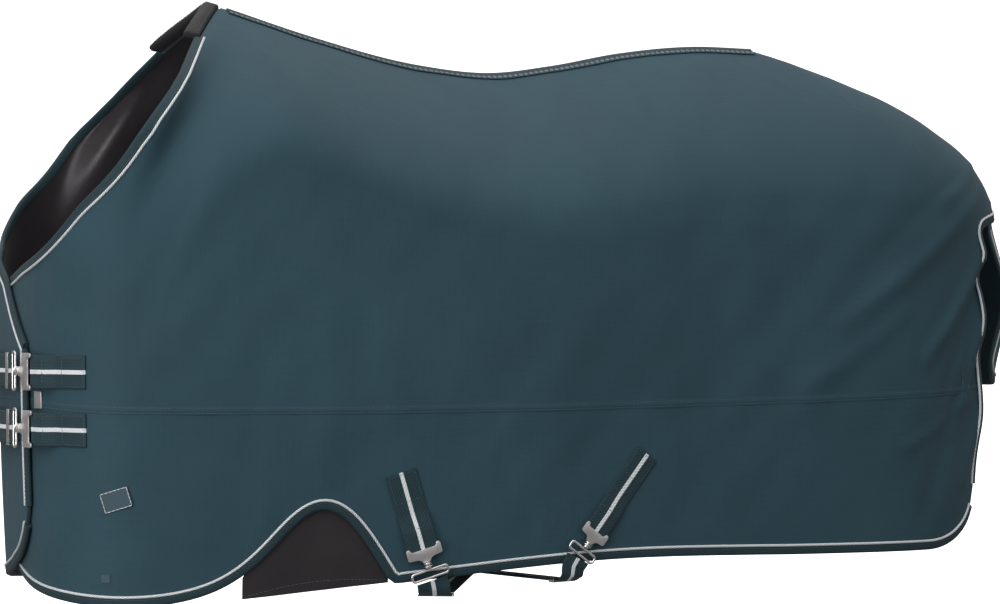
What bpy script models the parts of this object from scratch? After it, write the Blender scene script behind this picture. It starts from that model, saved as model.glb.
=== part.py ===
"""Turnout rug: a sewn horse cover with chest fasteners, crossing belly straps and a tail flap.

Metres, +X towards the tail, -Y the horse's left side, +Z up. The origin is on the lining,
at the lowest dip of the back. The cloth follows one surface: a roof that falls from the
spine to a rounded wall, squared round the chest and round again over the rump.
"""
import math

import bmesh
import bpy
import numpy as np
from mathutils import Matrix, Vector

# ---- Driving dimensions --------------------------------------------------------------
FRONT_X = -0.515        # where the sides turn in towards the chest
REAR_X = 0.46           # where the sides turn in towards the tail
CHEST_REACH = 0.262     # from FRONT_X to the front of the chest
RUMP_REACH = 0.415      # from REAR_X to the back of the rump
HALF_WIDTH = 0.32       # at the shoulder and the barrel
RUMP_HALF_WIDTH = 0.28
CHEST_SQUARENESS = 3.2  # superellipse powers of the plan
RUMP_SQUARENESS = 2.2
SPINE = [(-0.515, 0.115), (-0.45, 0.096), (-0.304, 0.052), (-0.123, 0.010), (0.0, 0.0), (0.107, 0.014),
         (0.228, 0.038), (0.357, 0.052), (0.46, 0.051)]
ROOF_DROP = [(-0.515, 0.21), (0.0, 0.26), (0.46, 0.30)]
ROOF_ROUNDNESS = [(-0.515, 1.6), (0.0, 1.8), (0.46, 2.4)]
NECK_EDGE = [(0.0, -0.335), (0.19, -0.305), (0.65, -0.215), (0.87, -0.118), (0.955, -0.035), (1.0, 0.035)]
NECK_TOP_HALF_WIDTH = 0.143
LEFT_NECK_DROP = 0.030  # how much lower the left half's neck edge lies at its middle
SEAM_HEIGHT = -0.508    # the seam between the upper and the lower panel, at its ends
SEAM_SAG = 0.02
HEM = [(-0.1, -0.762), (0.15, -0.785), (0.5, -0.802), (1.0, -0.806), (1.2, -0.79), (1.6, -0.758),
       (1.975, -0.760), (2.5, -0.762)]
REAR_EDGE_ANGLE = 40.0  # degrees round the rump from the tail
REAR_CORNER = 0.09      # how much the hem rises at the rear corner
ARCH_CENTRE_X = -0.372
ARCH_HALF_WIDTH = 0.121
ARCH_HEIGHT = 0.130
ARCH_STEPS = 6
SPINE_FRONT_X = ARCH_CENTRE_X - ARCH_HALF_WIDTH + 2 * ARCH_HALF_WIDTH / ARCH_STEPS
LEFT_FLAP_PASS = 0.10   # how far each chest flap passes the centre, as a share of the half chest
RIGHT_FLAP_PASS = 0.33
FLAP_DROP = 0.10        # fall of the right flap's upper edge past the centre

LINING = 0.002          # thicknesses
SHELL = 0.004
BINDING_WIDTH = 0.008
BINDING = 0.0075
WEBBING = 0.0025
GAP = 0.0003
PAD_WIDTH = 0.03
PAD = 0.014
TAPE_WIDTH = 0.044
TAPE = 0.0015

TAIL_FLAP_ANGLE = 30.0
TAIL_FLAP_DROP = 0.25
TAIL_FLAP_STANDOFF = 0.026

CHEST_STRAP_WIDTH = 0.05
FRONT_STRAP_WIDTH = 0.05
REAR_STRAP_WIDTH = 0.04
CHEST_STRAP_HEIGHTS = {"upper": -0.470, "lower": -0.556}
LOOP_WIRE = 0.002       # radius
STUD_RADIUS = 0.0075
PLATE = 0.0025
CHEST_PLATE_LENGTH = 0.045
BELLY_PLATE_LENGTH = 0.018
STRAP_SEAT = 0.008      # how far a hook plate lies over its strap's end
STUD_LENGTH = {"chest": 0.013, "belly": 0.010}
LOOP_LENGTH = 0.012
ADJUSTER_LENGTH = 0.012
RUN_CLEARANCE = 0.0006
STRAIGHT = (0, 0.012, 0.024, 0.036, 0.048, 0.060)  # where a strap stays flat past its loop
ADJUSTER_PLACE = 0.018
BELLY_SAG = {"front": -0.812, "rear": -0.796}
SURCINGLES = {          # top and bottom of each patch strap, in X and Z
    "front": ((-0.244, -0.624), (-0.208, -0.742)),
    "rear": ((0.160, -0.603), (0.070, -0.722)),
}

SHELL_IN = LINING + GAP
SHELL_OUT = SHELL_IN + SHELL
FLAP_LIFT = BINDING + 5 * GAP
FRONT_STEPS, SIDE_STEPS, REAR_STEPS = 14, 8, 9
UPPER_ROWS, LOWER_ROWS = 7, 4

COLOURS = {  # base colour, roughness, metallic
    "shell": ((0.045, 0.085, 0.105), 0.75, 0.0),
    "trim": ((0.015, 0.045, 0.055), 0.7, 0.0),
    "lining": ((0.018, 0.016, 0.018), 0.45, 0.0),
    "webbing": ((0.016, 0.05, 0.062), 0.65, 0.0),
    "metal": ((0.42, 0.40, 0.38), 0.35, 1.0),
    "label": ((0.10, 0.16, 0.19), 0.6, 0.0),
}


# ---- The scene -----------------------------------------------------------------------
def start():
    for old in list(bpy.data.objects):
        bpy.data.objects.remove(old, do_unlink=True)
    parts = bpy.data.collections.new("turnout_rug")
    bpy.context.scene.collection.children.link(parts)
    materials = {}
    for name, (colour, roughness, metallic) in COLOURS.items():
        material = bpy.data.materials.new(name)
        material.use_nodes = True
        shader = material.node_tree.nodes["Principled BSDF"]
        shader.inputs["Base Color"].default_value = (*colour, 1.0)
        shader.inputs["Roughness"].default_value = roughness
        shader.inputs["Metallic"].default_value = metallic
        materials[name] = material
    return parts, materials


PARTS, MATERIALS = start()


def add(name, data, material):
    piece = bpy.data.objects.new(name, data)
    PARTS.objects.link(piece)
    data.materials.append(MATERIALS[material])
    return piece


# ---- The rug's surface ---------------------------------------------------------------
def through(points, at):
    """A smooth curve (cubic Hermite with mean slopes) through points, read at one place."""
    xs, ys = np.array(points, float).T
    slopes = np.gradient(ys, xs)
    i = int(np.clip(np.searchsorted(xs, at) - 1, 0, len(xs) - 2))
    h = xs[i + 1] - xs[i]
    t = float(np.clip((at - xs[i]) / h, 0, 1))
    a, b = (2 * t**3 - 3 * t**2 + 1), (t**3 - 2 * t**2 + t)
    c, d = (-2 * t**3 + 3 * t**2), (t**3 - t**2)
    return a * ys[i] + b * h * slopes[i] + c * ys[i + 1] + d * h * slopes[i + 1]


def share(depth, roundness):
    """How much of the half width the roof has reached at a depth of 0..1 of its drop."""
    return 1 - (1 - min(max(depth, 0.0), 1.0)) ** roundness


def depth_at(width, roundness):
    return 1 - (1 - min(width, 1.0)) ** (1 / roundness)


def chest_plan(m):
    """Plan point on the chest's outline: m is 0 at the centre and 1 where the side starts."""
    angle = math.radians(90) * abs(m) ** (CHEST_SQUARENESS / 2)
    x = FRONT_X - CHEST_REACH * math.cos(angle) ** (2 / CHEST_SQUARENESS)
    return x, math.copysign(HALF_WIDTH * math.sin(angle) ** (2 / CHEST_SQUARENESS), m)


def half_width(x):
    t = (x - FRONT_X) / (REAR_X - FRONT_X)
    t = min(max((t - 0.4) / 0.6, 0), 1)
    return HALF_WIDTH + (RUMP_HALF_WIDTH - HALF_WIDTH) * t * t * (3 - 2 * t)


def rump_plan(degrees, scale=1.0):
    angle = math.radians(degrees)
    power = 2 / RUMP_SQUARENESS
    x = REAR_X + RUMP_REACH * max(math.cos(angle), 0) ** power * scale
    return x, math.copysign(RUMP_HALF_WIDTH * abs(math.sin(angle)) ** power * scale, angle)


def taper(z):
    """The wall draws in a little towards the hem."""
    return 1 - 0.05 * min(max((-z - 0.35) / 0.45, 0), 1) ** 2


SIDE_LENGTH = REAR_X - FRONT_X
REAR_TURN = 0.5         # length of s given to the turn round the rump


def plan(s):
    """Outline of the rug in plan: s is 0..1 round the chest, then metres of side, then the rump."""
    if s <= 1:
        return chest_plan(s)
    if s <= 1 + SIDE_LENGTH:
        x = FRONT_X + s - 1
        return x, half_width(x)
    turn = (s - 1 - SIDE_LENGTH) / REAR_TURN
    return rump_plan(90 - (90 - REAR_EDGE_ANGLE) * turn)


def wall(s, z):
    """Point of the left wall at height z."""
    x, y = plan(s)
    k = taper(z)
    centre = FRONT_X if s <= 1 else min(x, REAR_X)
    return np.array([centre + (x - centre) * k, -y * k, z])


def hem_height(s, arch=True):
    z = through(HEM, s)
    x = FRONT_X + s - 1
    if arch and abs(x - ARCH_CENTRE_X) < ARCH_HALF_WIDTH and s > 1:
        z += ARCH_HEIGHT * math.cos(math.pi / 2 * (x - ARCH_CENTRE_X) / ARCH_HALF_WIDTH)
    end = 1 + SIDE_LENGTH + REAR_TURN
    corner = min(max((s - end + 0.2) / 0.2, 0), 1)
    return z + REAR_CORNER * (1 - math.sqrt(1 - corner**2))


def neck_height(m, side):
    """Height of the upper edge round the chest; the left half is cut lower than the right."""
    if m < 0:
        return NECK_EDGE[0][1] - FLAP_DROP * abs(m) / RIGHT_FLAP_PASS
    drop = LEFT_NECK_DROP * math.sin(math.pi * min(m, 1)) if side == "left" else 0
    return through(NECK_EDGE, m) - drop


def seam_height(s):
    end = 1 + SIDE_LENGTH + REAR_TURN
    return SEAM_HEIGHT - SEAM_SAG * math.sin(math.pi * min(max(s / end, 0), 1))


def column(s, side="right"):
    """Points down the left half of the rug at s, from its upper edge to the seam."""
    steps = np.linspace(0, 1, 40)
    points = []
    if s <= 1:
        x, y = chest_plan(s)
        top, drop = SPINE[0][1] - 0.015, ROOF_DROP[0][1]
        for z in neck_height(s, side) + (seam_height(s) - neck_height(s, side)) * steps:
            k = share((top - z) / drop, ROOF_ROUNDNESS[0][1]) * taper(z)
            points.append((FRONT_X + (x - FRONT_X) * k, -y * k, z))
        return np.array(points)
    if s <= 1 + SIDE_LENGTH:
        x = FRONT_X + s - 1
        roundness, drop, top = through(ROOF_ROUNDNESS, x), through(ROOF_DROP, x), through(SPINE, x)
        opened = min(max((SPINE_FRONT_X - x) / (SPINE_FRONT_X - FRONT_X), 0), 1)
        first = max(opened * NECK_TOP_HALF_WIDTH / HALF_WIDTH, 0.001)
        top -= 0.015 * opened
        for k in first + (1 - first) * steps:
            points.append((x, -half_width(x) * k, top - drop * depth_at(k, roundness)))
    else:
        part = (s - 1 - SIDE_LENGTH) / REAR_TURN
        k_spine = 0.992 * part
        drop, roundness, top = ROOF_DROP[-1][1], ROOF_ROUNDNESS[-1][1], SPINE[-1][1]
        end_angle = 90 - (90 - REAR_EDGE_ANGLE) * part
        start_point = np.array([REAR_X + RUMP_REACH * k_spine, 0.001 * HALF_WIDTH])
        end_point = np.array(rump_plan(end_angle))
        for q in steps:
            chord = start_point + (end_point - start_point) * q
            round_way = np.array(rump_plan(end_angle * q, k_spine + (1 - k_spine) * q))
            x, y = chord + (round_way - chord) * part
            y = max(y, 0.001 * HALF_WIDTH)
            across, along = y / RUMP_HALF_WIDTH, (x - REAR_X) / RUMP_REACH
            k = (across**RUMP_SQUARENESS + along**RUMP_SQUARENESS) ** (1 / RUMP_SQUARENESS)
            points.append((x, -y, top - drop * depth_at(k, roundness)))
    for z in np.linspace(points[-1][2], seam_height(s), 20)[1:]:
        points.append(tuple(wall(s, z)))
    return np.array(points)


def evenly(points, count):
    """The same path with count points at even spacing."""
    run = np.r_[0, np.cumsum(np.linalg.norm(np.diff(points, axis=0), axis=1))]
    at = np.linspace(0, run[-1], count)
    return np.array([np.interp(at, run, points[:, i]) for i in range(3)]).T


def stations(first):
    front = np.linspace(first, 1, FRONT_STEPS + round(abs(first) * 12) + 1)
    arch_start = 1 + ARCH_CENTRE_X - ARCH_HALF_WIDTH - FRONT_X
    arch_end = arch_start + 2 * ARCH_HALF_WIDTH
    side_end = 1 + SIDE_LENGTH
    return np.concatenate([front, np.linspace(arch_start, arch_end, ARCH_STEPS + 1),
                           np.linspace(arch_end, side_end, SIDE_STEPS + 1)[1:],
                           np.linspace(side_end, side_end + REAR_TURN, REAR_STEPS + 1)[1:]])


def cloth_grid(first, side):
    """Points of the left half: rows from the upper edge to the hem, one column per station."""
    columns = []
    for s in stations(first):
        upper = evenly(column(s, side), UPPER_ROWS + 1)
        seam, low = seam_height(s), hem_height(s)
        lower = [wall(s, seam + (low - seam) * r / LOWER_ROWS) for r in range(1, LOWER_ROWS + 1)]
        columns.append(np.vstack([upper, lower]))
    return np.array(columns)


def normals_of(grid):
    """Outward unit normals of a grid whose first index runs to the tail and second runs down."""
    along = np.gradient(grid, axis=0)
    down = np.gradient(grid, axis=1)
    normals = np.cross(down, along)
    return normals / np.linalg.norm(normals, axis=2, keepdims=True)


def flap_lift(s):
    """The right chest flap lies on the left one, and comes down to the chest beside it."""
    t = min(max((0.35 - s) / 0.2, 0), 1)
    return FLAP_LIFT * t * t * (3 - 2 * t)


def side_of(side):
    """Grid, normals and lift of one half of the rug, with the right half mirrored."""
    first = -LEFT_FLAP_PASS if side == "left" else -RIGHT_FLAP_PASS
    grid = cloth_grid(first, side)
    normals = normals_of(grid)
    if side == "left":
        return grid, normals
    lift = np.array([flap_lift(s) for s in stations(first)])
    grid = grid + normals * lift[:, None, None]
    mirror = np.array([1, -1, 1])
    return grid * mirror, normals * mirror


# ---- Shapes --------------------------------------------------------------------------
def sheet_object(name, inner, outer, material):
    """A closed sheet between two grids of points."""
    n, m = inner.shape[:2]
    mesh = bmesh.new()
    layers = []
    for grid in (inner, outer):
        layers.append([[mesh.verts.new(grid[i, j]) for j in range(m)] for i in range(n)])
    low, high = layers
    for i in range(n - 1):
        for j in range(m - 1):
            mesh.faces.new((high[i][j], high[i + 1][j], high[i + 1][j + 1], high[i][j + 1]))
            mesh.faces.new((low[i][j], low[i][j + 1], low[i + 1][j + 1], low[i + 1][j]))
    rim = [(i, 0) for i in range(n)] + [(n - 1, j) for j in range(1, m)]
    rim += [(i, m - 1) for i in range(n - 2, -1, -1)] + [(0, j) for j in range(m - 2, 0, -1)]
    for (a, b), (c, d) in zip(rim, rim[1:] + rim[:1]):
        mesh.faces.new((low[a][b], low[c][d], high[c][d], high[a][b]))
    bmesh.ops.recalc_face_normals(mesh, faces=mesh.faces)
    if mesh.calc_volume(signed=True) < 0:
        bmesh.ops.reverse_faces(mesh, faces=mesh.faces)
    data = bpy.data.meshes.new(name)
    mesh.to_mesh(data)
    mesh.free()
    return add(name, data, material)


def layer(name, grid, normals, low, high, material):
    return sheet_object(name, grid + normals * low, grid + normals * high, material)


def edge_strip(name, edge, normals, inside, width, low, high, material, trim=0, gap=GAP):
    """A strip along an edge, just outside it; inside is a row of points on the cloth's side."""
    tangent = np.gradient(edge, axis=0)
    out = np.cross(normals, tangent)
    out /= np.linalg.norm(out, axis=1, keepdims=True)
    out *= np.sign(np.einsum("ij,ij->i", out, edge - inside))[:, None]
    rows = np.stack([edge + out * gap, edge + out * (gap + width)], axis=1)
    both = np.stack([normals, normals], axis=1)
    if trim:
        rows, both = rows[trim:-trim], both[trim:-trim]
    return layer(name, rows, both, low, high, material)


def ribbon(name, path, across, width, thickness, material):
    """Flat webbing centred on a path; across gives the width's direction at each point."""
    tangent = np.gradient(path, axis=0)
    tangent /= np.linalg.norm(tangent, axis=1, keepdims=True)
    across = across - tangent * np.einsum("ij,ij->i", across, tangent)[:, None]
    across /= np.linalg.norm(across, axis=1, keepdims=True)
    face = np.cross(tangent, across)
    rows = np.stack([path - across * width / 2, path + across * width / 2], axis=1)
    faces = np.stack([face, face], axis=1) * thickness / 2
    return sheet_object(name, rows - faces, rows + faces, material)


def smooth_path(points, count):
    """A smooth curve through chosen points, read at even spacing."""
    points = np.array(points, float)
    run = np.r_[0, np.cumsum(np.linalg.norm(np.diff(points, axis=0), axis=1))]
    at = np.linspace(0, run[-1], count * 4)
    dense = np.array([[through(list(zip(run, points[:, i])), t) for i in range(3)] for t in at])
    return evenly(dense, count)


# ---- Cloth ---------------------------------------------------------------------------
def make_cloth(side):
    grid, normals = side_of(side)
    seam = UPPER_ROWS
    upper, upper_n = grid[:, : seam + 1].copy(), normals[:, : seam + 1]
    upper[:, -1, 2] += GAP / 2
    lower, lower_n = grid[:, seam:].copy(), normals[:, seam:]
    lower[:, 0, 2] -= GAP / 2
    layer(f"shell_upper_{side}", upper, upper_n, SHELL_IN, SHELL_OUT, "shell")
    layer(f"shell_lower_{side}", lower, lower_n, SHELL_IN, SHELL_OUT, "shell")
    layer(f"lining_{side}", grid, normals, 0, LINING, "lining")

    places = stations(-LEFT_FLAP_PASS if side == "left" else -RIGHT_FLAP_PASS)
    spine_start = int(np.searchsorted(places, 1 + SPINE_FRONT_X - FRONT_X - GAP))
    pad_start = int(np.searchsorted(places, 1 - GAP))
    neck = slice(0, pad_start + 1)
    edge_strip(f"neck_binding_{side}", grid[neck, 0], normals[neck, 0], grid[neck, 1],
               BINDING_WIDTH, 0, BINDING, "trim", gap=3 * GAP)
    edge_strip(f"flap_binding_{side}", grid[0, 1:-1], normals[0, 1:-1], grid[1, 1:-1],
               BINDING_WIDTH, 0, BINDING, "trim")
    edge_strip(f"hem_binding_{side}", grid[1:-1, -1], normals[1:-1, -1], grid[1:-1, -2],
               BINDING_WIDTH, 0, BINDING, "trim")
    edge_strip(f"rear_binding_{side}", grid[-1, :], normals[-1, :], grid[-2, :],
               BINDING_WIDTH, 0, BINDING, "trim", trim=1)
    return grid, normals, (pad_start, spine_start)


def make_wither_pad(halves):
    """A padded roll along the top of the neck edge, over the spine."""
    steps = np.linspace(0, 1, 7)[1:]
    rows = {}
    for side, (grid, normals, (pad_start, spine_start)) in halves.items():
        picked = slice(pad_start, spine_start + 1)
        along = np.linspace(0, 1, spine_start + 1 - pad_start)
        rows[side] = [np.array([np.interp(steps, along, values[picked, 0, i]) for i in range(3)]).T
                      for values in (grid, normals)]
    edge, normals = (np.vstack([a[:-1], [a[-1] * [1, 0, 1]], b[-2::-1]])
                     for a, b in zip(rows["left"], rows["right"]))
    normals /= np.linalg.norm(normals, axis=1, keepdims=True)
    edge_strip("wither_pad", edge, normals, edge + [0.1, 0, 0], PAD_WIDTH, -0.002, PAD - 0.002,
               "lining", gap=0.0009)


def make_spine_tape(halves):
    """A folded tape over the ridge, from behind the pad to near the tail."""
    grid, normals, (_, spine_start) = halves["left"]
    rows, lifts = [], []
    for i in range(spine_start + 1, len(grid) - REAR_STEPS):
        top, below = grid[i, 0], grid[i, 1]
        side = top + (below - top) / np.linalg.norm(below - top) * TAPE_WIDTH / 2
        normal = normals[i, 0] * [0, 1, 1]
        normal /= np.linalg.norm(normal)
        ridge = np.array([top[0], 0, top[2]])
        slope = math.atan2(abs(normal[1]), normal[2])
        reach = SHELL_OUT + 3 * GAP
        left = side + normal * reach
        rows.append([left, ridge + [0, 0, reach / math.cos(slope)], left * [1, -1, 1]])
        lifts.append([normal, [0, 0, 1 / math.cos(slope)], normal * [1, -1, 1]])
    layer("spine_tape", np.array(rows), np.array(lifts), 0, TAPE, "trim")


def make_gusset(side):
    """A panel behind the leg arch, from just above the arch down to the hem line."""
    steps = 8
    reach = ARCH_HALF_WIDTH - 0.008
    xs = np.linspace(ARCH_CENTRE_X - reach, ARCH_CENTRE_X + reach, steps + 1)
    columns = []
    for x in xs:
        s = 1 + x - FRONT_X
        top = hem_height(s) + 0.012
        columns.append([wall(s, z) for z in np.linspace(top, hem_height(s, arch=False) - 0.006, 4)])
    grid = np.array(columns)
    normals = normals_of(grid)
    if side == "right":
        grid, normals = grid * [1, -1, 1], normals * [1, -1, 1]
    layer(f"leg_gusset_{side}", grid, normals, -GAP - 0.0025, -GAP, "lining")


def make_tail_flap(halves):
    """A flap that hangs from the rear edge over the tail, with its binding."""
    columns = []
    steps = 10
    half = evenly(column(1 + SIDE_LENGTH + REAR_TURN)[:40], 80)
    for i in range(steps + 1):
        degrees = TAIL_FLAP_ANGLE * (2 * i / steps - 1)
        angles = np.degrees(np.arctan2(np.abs(half[:, 1]), half[:, 0] - REAR_X))
        top = np.interp(abs(rump_angle(degrees)), angles, half[:, 2]) - 0.9 * BINDING_WIDTH
        top -= 0.004 * (degrees / TAIL_FLAP_ANGLE) ** 2
        bottom = SPINE[-1][1] - ROOF_DROP[-1][1] - TAIL_FLAP_DROP
        column_points = []
        for r in range(6):
            t = r / 5
            x, y = rump_plan(degrees, 1.0)
            out = TAIL_FLAP_STANDOFF * (0.2 * t + math.sin(math.pi * t) ** 1.5)
            z = top + (bottom - top) * t + 0.03 * (abs(degrees) / TAIL_FLAP_ANGLE) ** 4 * t
            column_points.append([x + out, y, z])
        columns.append(column_points)
    grid = np.array(columns)
    normals = -normals_of(grid)
    if normals[steps // 2, 2, 0] < 0:
        normals = -normals
    layer("tail_flap", grid, normals, 0, SHELL, "shell")
    rim = np.vstack([grid[0, 1:-1], grid[:, -1], grid[-1, -2:0:-1]])
    rim_n = np.vstack([normals[0, 1:-1], normals[:, -1], normals[-1, -2:0:-1]])
    centre = np.tile(grid[steps // 2, 2], (len(rim), 1))
    edge_strip("tail_flap_binding", rim, rim_n, centre, BINDING_WIDTH, -0.001, 0.006, "trim")


def rump_angle(degrees):
    x, y = rump_plan(degrees)
    return math.degrees(math.atan2(y, x - REAR_X))


# ---- Straps and their fasteners ------------------------------------------------------
def surface_frame(s, z, side="left"):
    """Point, direction to the tail and outward normal on the wall."""
    step = 0.01
    here = wall(s, z)
    along = wall(s + step, z) - wall(s - step, z)
    down = wall(s, z - step) - wall(s, z + step)
    normal = np.cross(down, along)
    flip = np.array([1, 1 if side == "left" else -1, 1])
    return here * flip, along / np.linalg.norm(along) * flip, normal / np.linalg.norm(normal) * flip


def patch(name, places, width, side, low, high):
    """Webbing sewn on the wall between two (s, z) places; its far end rises from low to high.

    Returns the point on top of that end, its direction and the outward normal.
    """
    path, out = [], []
    for t in np.linspace(0, 1, 13):
        s, z = np.array(places[0]) + (np.array(places[1]) - places[0]) * t
        point, _, normal = surface_frame(s, z, side)
        rise = min(max((t - 0.5) / 0.3, 0), 1)
        offset = low + (high - low) * rise * rise * (3 - 2 * rise)
        path.append(point + normal * (offset + WEBBING / 2))
        out.append(normal)
    path, out = np.array(path), np.array(out)
    ribbon(name, path, np.cross(out, np.gradient(path, axis=0)), width, WEBBING, "webbing")
    direction = path[-1] - path[-2]
    return path[-1] + out[-1] * WEBBING / 2, direction / np.linalg.norm(direction), out[-1]


def place_at(piece, origin, direction, normal):
    direction = Vector(direction).normalized()
    normal = (Vector(normal) - direction * Vector(normal).dot(direction)).normalized()
    across = normal.cross(direction)
    basis = Matrix((direction, across, normal)).transposed().to_4x4()
    piece.matrix_world = Matrix.Translation(Vector(origin)) @ basis


def box_mesh(name, low, high, hole=None):
    """A box, or a square tube along X when the hole's half sizes (Y, Z) are given."""
    mesh = bmesh.new()
    if hole is None:
        bmesh.ops.create_cube(mesh, size=1)
        size = Vector(high) - Vector(low)
        bmesh.ops.scale(mesh, vec=size, verts=mesh.verts)
        bmesh.ops.translate(mesh, vec=(Vector(high) + Vector(low)) / 2, verts=mesh.verts)
    else:
        rings = []
        for x in (low[0], high[0]):
            for y, z in ((high[1], high[2]), hole):
                corners = ((-y, -z), (y, -z), (y, z), (-y, z))
                rings.append([mesh.verts.new((x, a, b)) for a, b in corners])
        outer0, inner0, outer1, inner1 = rings
        for a, b in ((outer0, outer1), (inner1, inner0), (inner0, outer0), (outer1, inner1)):
            for i in range(4):
                j = (i + 1) % 4
                mesh.faces.new((a[i], a[j], b[j], b[i]))
        bmesh.ops.recalc_face_normals(mesh, faces=mesh.faces)
    data = bpy.data.meshes.new(name)
    mesh.to_mesh(data)
    mesh.free()
    return data


def plate_with_slot(name, length, width):
    """The hook plate: a rounded outline with a slot for the webbing, lying in X and Y."""
    curve = bpy.data.curves.new(name, "CURVE")
    curve.dimensions = "2D"
    curve.fill_mode = "BOTH"
    curve.extrude = PLATE / 2
    corner = 0.005
    outer = rounded(0, length, width / 2 + 0.003, corner)
    slot = rounded(0.003, 0.0075, width / 2 - 0.003, 0.0015)
    for points in (outer, slot):
        spline = curve.splines.new("POLY")
        spline.points.add(len(points) - 1)
        for point, (x, y) in zip(spline.points, points):
            point.co = (x, y, 0, 1)
        spline.use_cyclic_u = True
    holder = bpy.data.objects.new(name + "_outline", curve)
    PARTS.objects.link(holder)
    bpy.context.view_layer.update()
    data = bpy.data.meshes.new_from_object(holder.evaluated_get(bpy.context.evaluated_depsgraph_get()))
    mesh = bmesh.new()
    mesh.from_mesh(data)
    bmesh.ops.remove_doubles(mesh, verts=mesh.verts, dist=0.00002)
    mesh.to_mesh(data)
    mesh.free()
    bpy.data.objects.remove(holder)
    data.materials.clear()
    return data


def rounded(x0, x1, half, corner):
    points = []
    for cx, cy, start_angle in ((x1 - corner, half - corner, 0), (x0 + corner, half - corner, 90),
                                (x0 + corner, -half + corner, 180), (x1 - corner, -half + corner, 270)):
        for step in range(3):
            angle = math.radians(start_angle + 45 * step)
            points.append((cx + corner * math.cos(angle), cy + corner * math.sin(angle)))
    return points


def turned(name, profile, steps=12):
    """A turned piece about X from (x, radius) points, closed at both ends."""
    mesh = bmesh.new()
    rings = []
    for x, radius in profile:
        angles = [2 * math.pi * i / steps for i in range(steps)]
        rings.append([mesh.verts.new((x, radius * math.cos(a), radius * math.sin(a))) for a in angles])
    for a, b in zip(rings, rings[1:]):
        for i in range(steps):
            j = (i + 1) % steps
            mesh.faces.new((a[i], a[j], b[j], b[i]))
    mesh.faces.new(rings[0])
    mesh.faces.new(rings[-1])
    bmesh.ops.recalc_face_normals(mesh, faces=mesh.faces)
    data = bpy.data.meshes.new(name)
    mesh.to_mesh(data)
    mesh.free()
    return data


def wire_loop(name, x0, length, half):
    """A rectangular wire loop lying in X and Y."""
    curve = bpy.data.curves.new(name, "CURVE")
    curve.dimensions = "3D"
    curve.bevel_depth = LOOP_WIRE
    curve.bevel_resolution = 2
    spline = curve.splines.new("POLY")
    points = rounded(x0, x0 + length, half, 0.004)
    spline.points.add(len(points) - 1)
    for point, (x, y) in zip(spline.points, points):
        point.co = (x, y, 0, 1)
    spline.use_cyclic_u = True
    return curve


def fastener(name, kind, seat, width, plate_length):
    """Hook plate, swivel stud and rectangular loop in a row from the strap's end.

    Returns the point where the next strap starts, just past the loop.
    """
    end, direction, normal = seat
    origin = end - direction * STRAP_SEAT + normal * (GAP + PLATE / 2)
    plate = add(f"{name}_hook_plate", plate_with_slot(name, plate_length + STRAP_SEAT, width), "metal")
    stud_start = plate_length + STRAP_SEAT + GAP
    length = STUD_LENGTH[kind]
    rings = [(0, 0.6), (0.1, 1.0), (0.25, 1.0), (0.3, 0.75), (0.42, 0.75), (0.47, 1.0), (0.62, 1.0),
             (0.67, 0.6), (1.0, 0.6)]
    profile = [(stud_start + length * x, STUD_RADIUS * r) for x, r in rings]
    stud = add(f"{name}_swivel_stud", turned(name, profile), "metal")
    loop_start = stud_start + length + LOOP_WIRE + GAP
    loop = add(f"{name}_loop", wire_loop(name, loop_start, LOOP_LENGTH, width / 2 + 0.004), "metal")
    for piece in (plate, stud, loop):
        place_at(piece, origin, direction, normal)
    return origin + direction * (loop_start + LOOP_LENGTH + LOOP_WIRE + GAP)


def adjuster(name, centre, direction, normal, width):
    """A flat metal keeper that slides along its strap."""
    half = ADJUSTER_LENGTH / 2
    hole = (width / 2 + RUN_CLEARANCE, WEBBING / 2 + RUN_CLEARANCE)
    reach = (half, hole[0] + 0.002, hole[1] + 0.0015)
    piece = add(f"{name}_adjuster", box_mesh(name, (-half, -reach[1], -reach[2]), reach, hole), "metal")
    place_at(piece, centre, direction, normal)


def strap_along(name, controls, count, width):
    """Webbing through (point, across) controls."""
    points, across = (np.array(values, float) for values in zip(*controls))
    run = np.r_[0, np.cumsum(np.linalg.norm(np.diff(points, axis=0), axis=1))]
    path = smooth_path(points, count)
    at = np.linspace(0, run[-1], count)
    turned_across = np.array([np.interp(at, run, across[:, i]) for i in range(3)]).T
    ribbon(name, path, turned_across, width, WEBBING, "webbing")


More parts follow.
